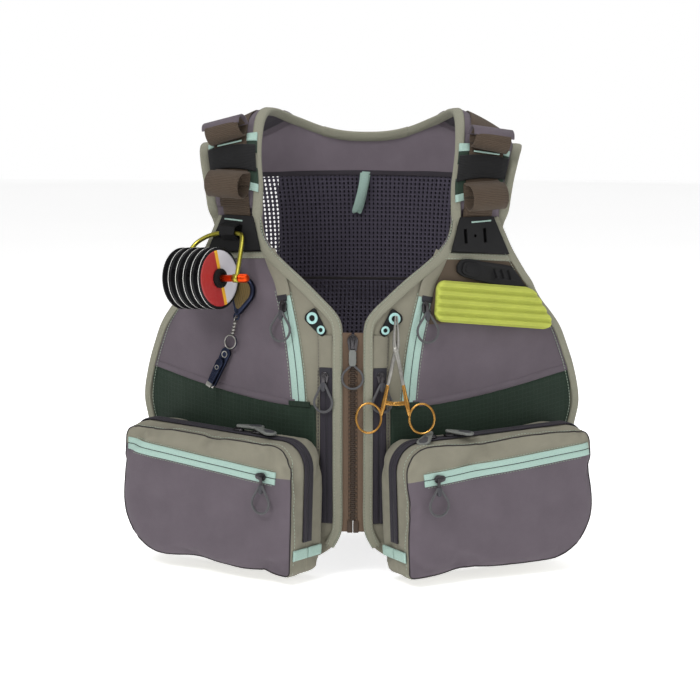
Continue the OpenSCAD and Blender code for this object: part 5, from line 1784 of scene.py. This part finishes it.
def label_material():
    """Plain spool label: red, yellow and white bands across it."""
    n = Nodes("spool_label")
    where = n.place(True)
    parts = n.add("ShaderNodeSeparateXYZ", {"Vector": where})
    across = n.math("ADD", n.math("MULTIPLY", parts.outputs["X"], 0.62), n.math("MULTIPLY", parts.outputs["Y"], 0.78))
    span = n.math("ADD", n.math("MULTIPLY", across, 1000 / 60), 0.5)
    ramp = n.add("ShaderNodeValToRGB", {"Fac": span})
    ramp.color_ramp.interpolation = "CONSTANT"
    stops = [(0.0, rgb(160, 20, 20)), (0.50, rgb(226, 168, 26)), (0.57, rgb(196, 194, 202))]
    while len(ramp.color_ramp.elements) < len(stops):
        ramp.color_ramp.elements.new(0.5)
    for element, (place_on, colour) in zip(ramp.color_ramp.elements, stops):
        element.position = place_on
        element.color = colour
    fade = n.add("ShaderNodeMix", {"Factor": n.math("MULTIPLY", n.noise(where, 300, 3), 0.04),
                                   "A": ramp.outputs["Color"], "B": (0.9, 0.9, 0.9, 1)}, data_type="RGBA")
    n.link(fade.outputs["Result"], n.shader.inputs["Base Color"])
    n.link(n.ramp(n.noise(where, 200), [(0.3, (0.3, 0.3, 0.3, 1)), (0.7, (0.45, 0.45, 0.45, 1))]),
           n.shader.inputs["Roughness"])
    return n.mat


def tippet():
    """Bail with its knurled bar, and the stack of tippet spools."""
    at = shift(*BAIL_AT) @ turn("Z", BAIL_YAW) @ turn("Y", BAIL_ROLL) @ turn("X", -BAIL_SWING)
    bend = corner_cut([(x, 0, z) for x, z in BAIL], 3)
    line = resample(bend, 1.6)
    tube = sweep("bail_tube", line, [np.array([0, -1, 0])] * len(line), oval(BAIL_TUBE, BAIL_TUBE, 14), BAIL_PAINT, None, at)
    parts = [tube]
    for x, z in (BAIL[0], BAIL[-1]):
        parts.append(lathe("bail_foot", [(0, -3.2), (3.9, -3.2), (4.3, -2.8), (4.3, 2.8), (3.9, 3.2), (0, 3.2)],
                           BAIL_PAINT, at @ shift(x, 0, z) @ turn("Z", 90), segments=24))
    low, high = BAIL[-1][0] - 6, BAIL[0][0] + 14
    profile = [(0, low), (2.8, low), (3.4, low + 0.8)]
    grips = ((low + 1, low + 4), (BAIL[0][0] + 5, high - 1.2))
    profile += [(3.4, BAIL[0][0] - 2)]
    h = grips[1][0]
    profile += [(3.4, h - 0.5)]
    while h < grips[1][1]:
        profile += [(4.3, h), (4.3, h + 0.7), (3.7, h + 1.0), (3.7, h + 1.3)]
        h += 1.6
    profile += [(3.6, high - 0.6), (2.8, high), (0, high)]
    parts.append(lathe("bail_bar", profile, ORANGE, at @ shift(0, 0, BAIL[0][1]) @ turn("Z", 90), segments=24))
    obj = join("bail_piece", parts, "tippet_bail")
    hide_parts("tippet_bail")

    parts = []
    rim = 30.0
    profile = [(4, -4.5), (rim - 1, -4.5), (rim, -4.0), (rim, -3.3), (rim - 0.8, -2.9), (24.5, -2.7), (24.2, 0), (24.5, 2.7),
               (rim - 0.8, 2.9), (rim, 3.3), (rim, 4.0), (rim - 1, 4.5), (4, 4.5), (4, -4.5)]
    for i in range(SPOOLS):
        x = STACK_AT + (i - (SPOOLS - 1) / 2) * SPOOL_PITCH
        spool_at = at @ shift(x, 0, BAIL[0][1]) @ turn("Z", 90)
        # One flange rim of each spool takes the pale colour.
        parts.append(lathe("spool_%d" % i, profile, [SPOOL, SPOOL_RIM_PALE], spool_at, segments=72,
                           which=lambda ring, turned: 1 if ring in (9, ) else 0))
        line = [(21.0, -2.2), (26.2, -2.2), (26.6, 0), (26.2, 2.2), (21.0, 2.2), (21.0, -2.2)]
        parts.append(lathe("line_%d" % i, line, SPOOL, spool_at, segments=60))
    front_at = at @ shift(STACK_AT + (SPOOLS - 1) / 2 * SPOOL_PITCH, 0, BAIL[0][1]) @ turn("Z", 90)
    rings, turns = 10, 72
    verts = [(mix(8.5, 27.2, i / rings) * math.cos(2 * math.pi * k / turns), -h,
              mix(8.5, 27.2, i / rings) * math.sin(2 * math.pi * k / turns))
             for h in (4.4, 4.85) for i in range(rings + 1) for k in range(turns)]
    n = (rings + 1) * turns
    faces = []
    for i in range(rings):
        for k in range(turns):
            a, b = i * turns + k, i * turns + (k + 1) % turns
            faces.append((n + a, n + a + turns, n + b + turns, n + b))
            faces.append((a, b, b + turns, a + turns))
    for k in range(turns):
        m = (k + 1) % turns
        faces.append((k, n + k, n + m, m))
        faces.append((rings * turns + k, rings * turns + m, n + rings * turns + m, n + rings * turns + k))
    parts.append(make("label", verts, faces, label_material(), None, front_at, [(v[0], v[2]) for v in verts]))
    parts.append(lathe("hub", [(3.9, 4.2), (8.2, 4.2), (9.3, 5.0), (9.3, 7.2), (8.2, 8.2), (3.9, 8.2), (3.9, 4.2)],
                       HUB_FOAM, front_at, segments=36))
    obj = join("tippet_spool_stack", parts, "tippet_spools")
    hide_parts("tippet_spools")


def retractor_and_nippers():
    at = on_front(RETRACTOR_AT[0], RETRACTOR_AT[1], RETRACTOR_OUT) @ turn("Y", 12)
    case = slab("retractor_case", capsule(0, 0, 14, 0, -19.4, 4.6, 20), 0, 5.4, NAVY, at, 1.4)
    face = slab("retractor_face", capsule(0, 0, 10.8, 0, -15, 3.2, 20), 5.0, 6.1, RETRACTOR_FACE, at, 0.5)
    eye = torus("retractor_eye", 3.0, 1.9, NAVY, at @ shift(0, -4, -26) @ turn("Z", 0))
    neck = slab("retractor_neck", capsule(0, -19, 2.4, 0, -23.4, 1.8), 2.2, 5.4, NAVY, at, 0.6)
    obj = join("retractor_piece", [case, face, eye, neck], "front_right")
    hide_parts("retractor")

    hang = at @ shift(0, -4, -26)
    blades = hang @ shift(0, 0, -26) @ turn("Y", BLADE_LEAN)
    parts = [torus("chain_ring", 2.4, 1.2, STEEL, hang @ shift(0, 0, -2.6) @ turn("Z", 90))]
    for k in range(4):
        parts.append(ball("bead_%d" % k, 1.9, STEEL, hang @ shift(0, 0, -7 - 3.3 * k)))
    parts.append(torus("split_ring", 6.8, 1.7, NAVY, blades))
    parts.append(torus("split_ring_2", 6.6, 1.5, STEEL, blades @ shift(0, -1.0, 0)))
    outline = capsule(0, -12.5, 5.6, 0, -45.5, 4.4, 14)
    lower = slab("nipper_body", outline, -1.5, 1.5, NAVY, blades, 0.7)
    cut(lower, [lathe("hole", [(0, -6), (3, -6), (3, 6), (0, 6)], NAVY, blades @ shift(0, 0, -14), segments=20)])
    parts.append(lower)
    parts.append(slab("nipper_edge", [(-4, -47.5), (4, -47.5), (3.2, -51), (-3.2, -51)], -1.2, 1.4, STEEL, blades, 0.3))
    parts.append(torus("nipper_rivet", 3.0, 1.0, STEEL, blades @ shift(0, -1.6, -14)))
    obj = join("nippers_piece", parts, "nippers")
    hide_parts("nippers")
    press = blades @ shift(0, -3.6, -20.5) @ turn("X", -3)
    lever = slab("lever_plate", capsule(0, -3, 4.3, 0, -25.5, 3.2, 12), -1.2, 0.9, NAVY, press, 0.6)
    tip = slab("lever_tip", [(-3.4, -25), (3.4, -25), (3.0, -29.5), (-3.0, -29.5)], -1.2, 1.2, STEEL, press, 0.3)
    dimple = torus("lever_ring", 2.0, 0.8, STEEL, press @ shift(0, -1.0, -8))
    grips = [slab("lever_rib_%d" % k, capsule(-2.2, -14 - 2.6 * k, 0.5, 2.2, -14 - 2.6 * k, 0.5, 6), 0.7, 1.5, NAVY, press,
                  0.2) for k in range(4)]
    obj = join("nipper_lever_piece", [lever, tip, dimple, *grips], "nipper_lever")
    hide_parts("nipper_lever")


def forceps():
    at = shift(*FORCEPS_AT) @ turn("X", -FORCEPS_TIP)
    ring_z = -JAW_L - (FORCEPS_L - JAW_L - 2 * RING_R - 6)
    for word, s, y in (("ring", -1, 1.5), ("box", 1, -1.5)):
        here = at @ shift(0, y, 0)
        jaw = [(-s * 0.7, 0, 0.4), (-s * 1.2, 0, -9), (-s * 1.8, 0, -20), (-s * 1.3, 0, -28), (s * 0.6, 0, -34),
               (s * 2.8, 0, -43), (s * 5.2, 0, -55), (s * 7.6, 0, -66)]
        upper = taper("forceps_jaw", smooth(jaw, 46), [0.6, 1.1, 1.6, 2.1, 2.3, 2.0, 1.8, 1.7], STEEL, here, flat=0.8)
        shank = [(s * 7.5, 0, -65.5), (s * 9.2, 0, -74), (s * 10.8, 0, -82), (s * 12.2, 0, -88.5), (s * 13.4, 0, -95)]
        lower = taper("forceps_shank", smooth(shank, 24), [1.7, 1.9, 2.4, 2.2, 1.2], GOLD, here, flat=0.8)
        ring = torus("forceps_finger_ring", RING_R - 0.5, 2.3, GOLD, here @ shift(s * 25.5, 0, ring_z + 0.5), 1.18)
        box = lathe("forceps_joint", [(0, -1.4), (2.4, -1.4), (2.9, -0.9), (2.9, 0.9), (2.4, 1.4), (0, 1.4)], STEEL,
                    here @ shift(0, 0, -JAW_L), segments=24)
        reach = corner_cut([(s * 11.2, -80.5), (s * 11.6, -84.6), (-s * 1.5, -85.6), (-s * 3.0, -83.6), (s * 0.5, -81.8),
                            (s * 9.0, -80.6), (s * 11.2, -80.5)], 1)[:-1]
        bar = slab("forceps_ratchet", reach if s > 0 else reach[::-1], -1.0, 1.0, GOLD, here, 0.3)
        teeth = [slab("ratchet_tooth_%d" % k, capsule(s * (1.2 + 1.9 * k), -84.8, 0.6, s * (1.2 + 1.9 * k), -82.4, 0.6, 4),
                      -1.3, 1.3, GOLD, here, 0.15) for k in range(3)]
        parts = [upper, lower, ring, box, bar, *teeth]
        if s < 0:
            parts.append(lathe("forceps_screw", [(0, 0.2), (1.5, 0.2), (1.5, 4.4), (2.4, 4.5), (2.4, 5.2), (1.9, 5.6), (0, 5.6)],
                               STEEL, here @ shift(0, 0, -JAW_L), segments=20))
        obj = join("forceps_%s_arm_piece" % word, parts, "forceps_%s_arm" % word)
        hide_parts("forceps_%s_arm" % word)


def side_webbing(word, side):
    """Two webbings that pull the back to the front round the side, one above the other."""
    for level, z in (("upper", -345), ("lower", -375)):
        path = [(160, 42.5, z), (172, 35.2, z), (186, 25.5, z), (200, 14.5, z), (208.5, 4, z), (209, -6, z),
                (203, -16.5, z), (193, -24.5, z)]
        line = smooth(path, 48)
        out = [unit(np.cross(t, [0, 0, 1])) for t in directions(line)]
        out = [n if n[0] > 0 else -n for n in out]
        tape = sweep("side_webbing_%s_%s" % (level, word), line, out, flat_tape(19, -0.8, 0.8), WEBBING, None,
                     mirror(side))
        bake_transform(tape)
        stop = slab("side_webbing_end_%s_%s" % (level, word), [(-4, -10), (4, -10), (4, 10), (-4, 10)], 0, 1.4, BLACK,
                    mirror(side) @ on_front(194.5, z, LAYER + CLOTH + 0.8), 0.5, "front_" + word)


def paint_cad():
    """Gives the CAD pieces that stay in view their materials."""
    for node, mat in (("net_ring", NAVY), ("net_ring_tab", BLACK_PLASTIC), ("side_strap_right", WEBBING_PLAIN),
                      ("side_strap_left", WEBBING_PLAIN)):
        obj = frame["nodes"][node]
        obj.data.materials.clear()
        obj.data.materials.append(mat)


BLACK_PLASTIC = moulded("black_plastic", rgb(32, 32, 35), 0.5)
WEBBING_PLAIN = ribbed("strap_webbing", rgb(92, 78, 68), 1.7, 0.4, 0.9, 0.8, lay=False, axis="Z")


nape()
for word, side in SIDES.items():
    seed = front_half(word, side)
    cover_skin = pocket_half(word, side, True)
    pocket_half(word, side, False)
    pocket_trims(word, side, cover_skin)
    small_zips(word, side, seed)
    pocket_pulls(word, side, cover_skin)
    tabs(word, side, seed)
    shoulder(word, side)
    side_webbing(word, side)
    if side > 0:
        foam_and_magnet(seed)
front_zip()
tippet()
retractor_and_nippers()
forceps()
paint_cad()
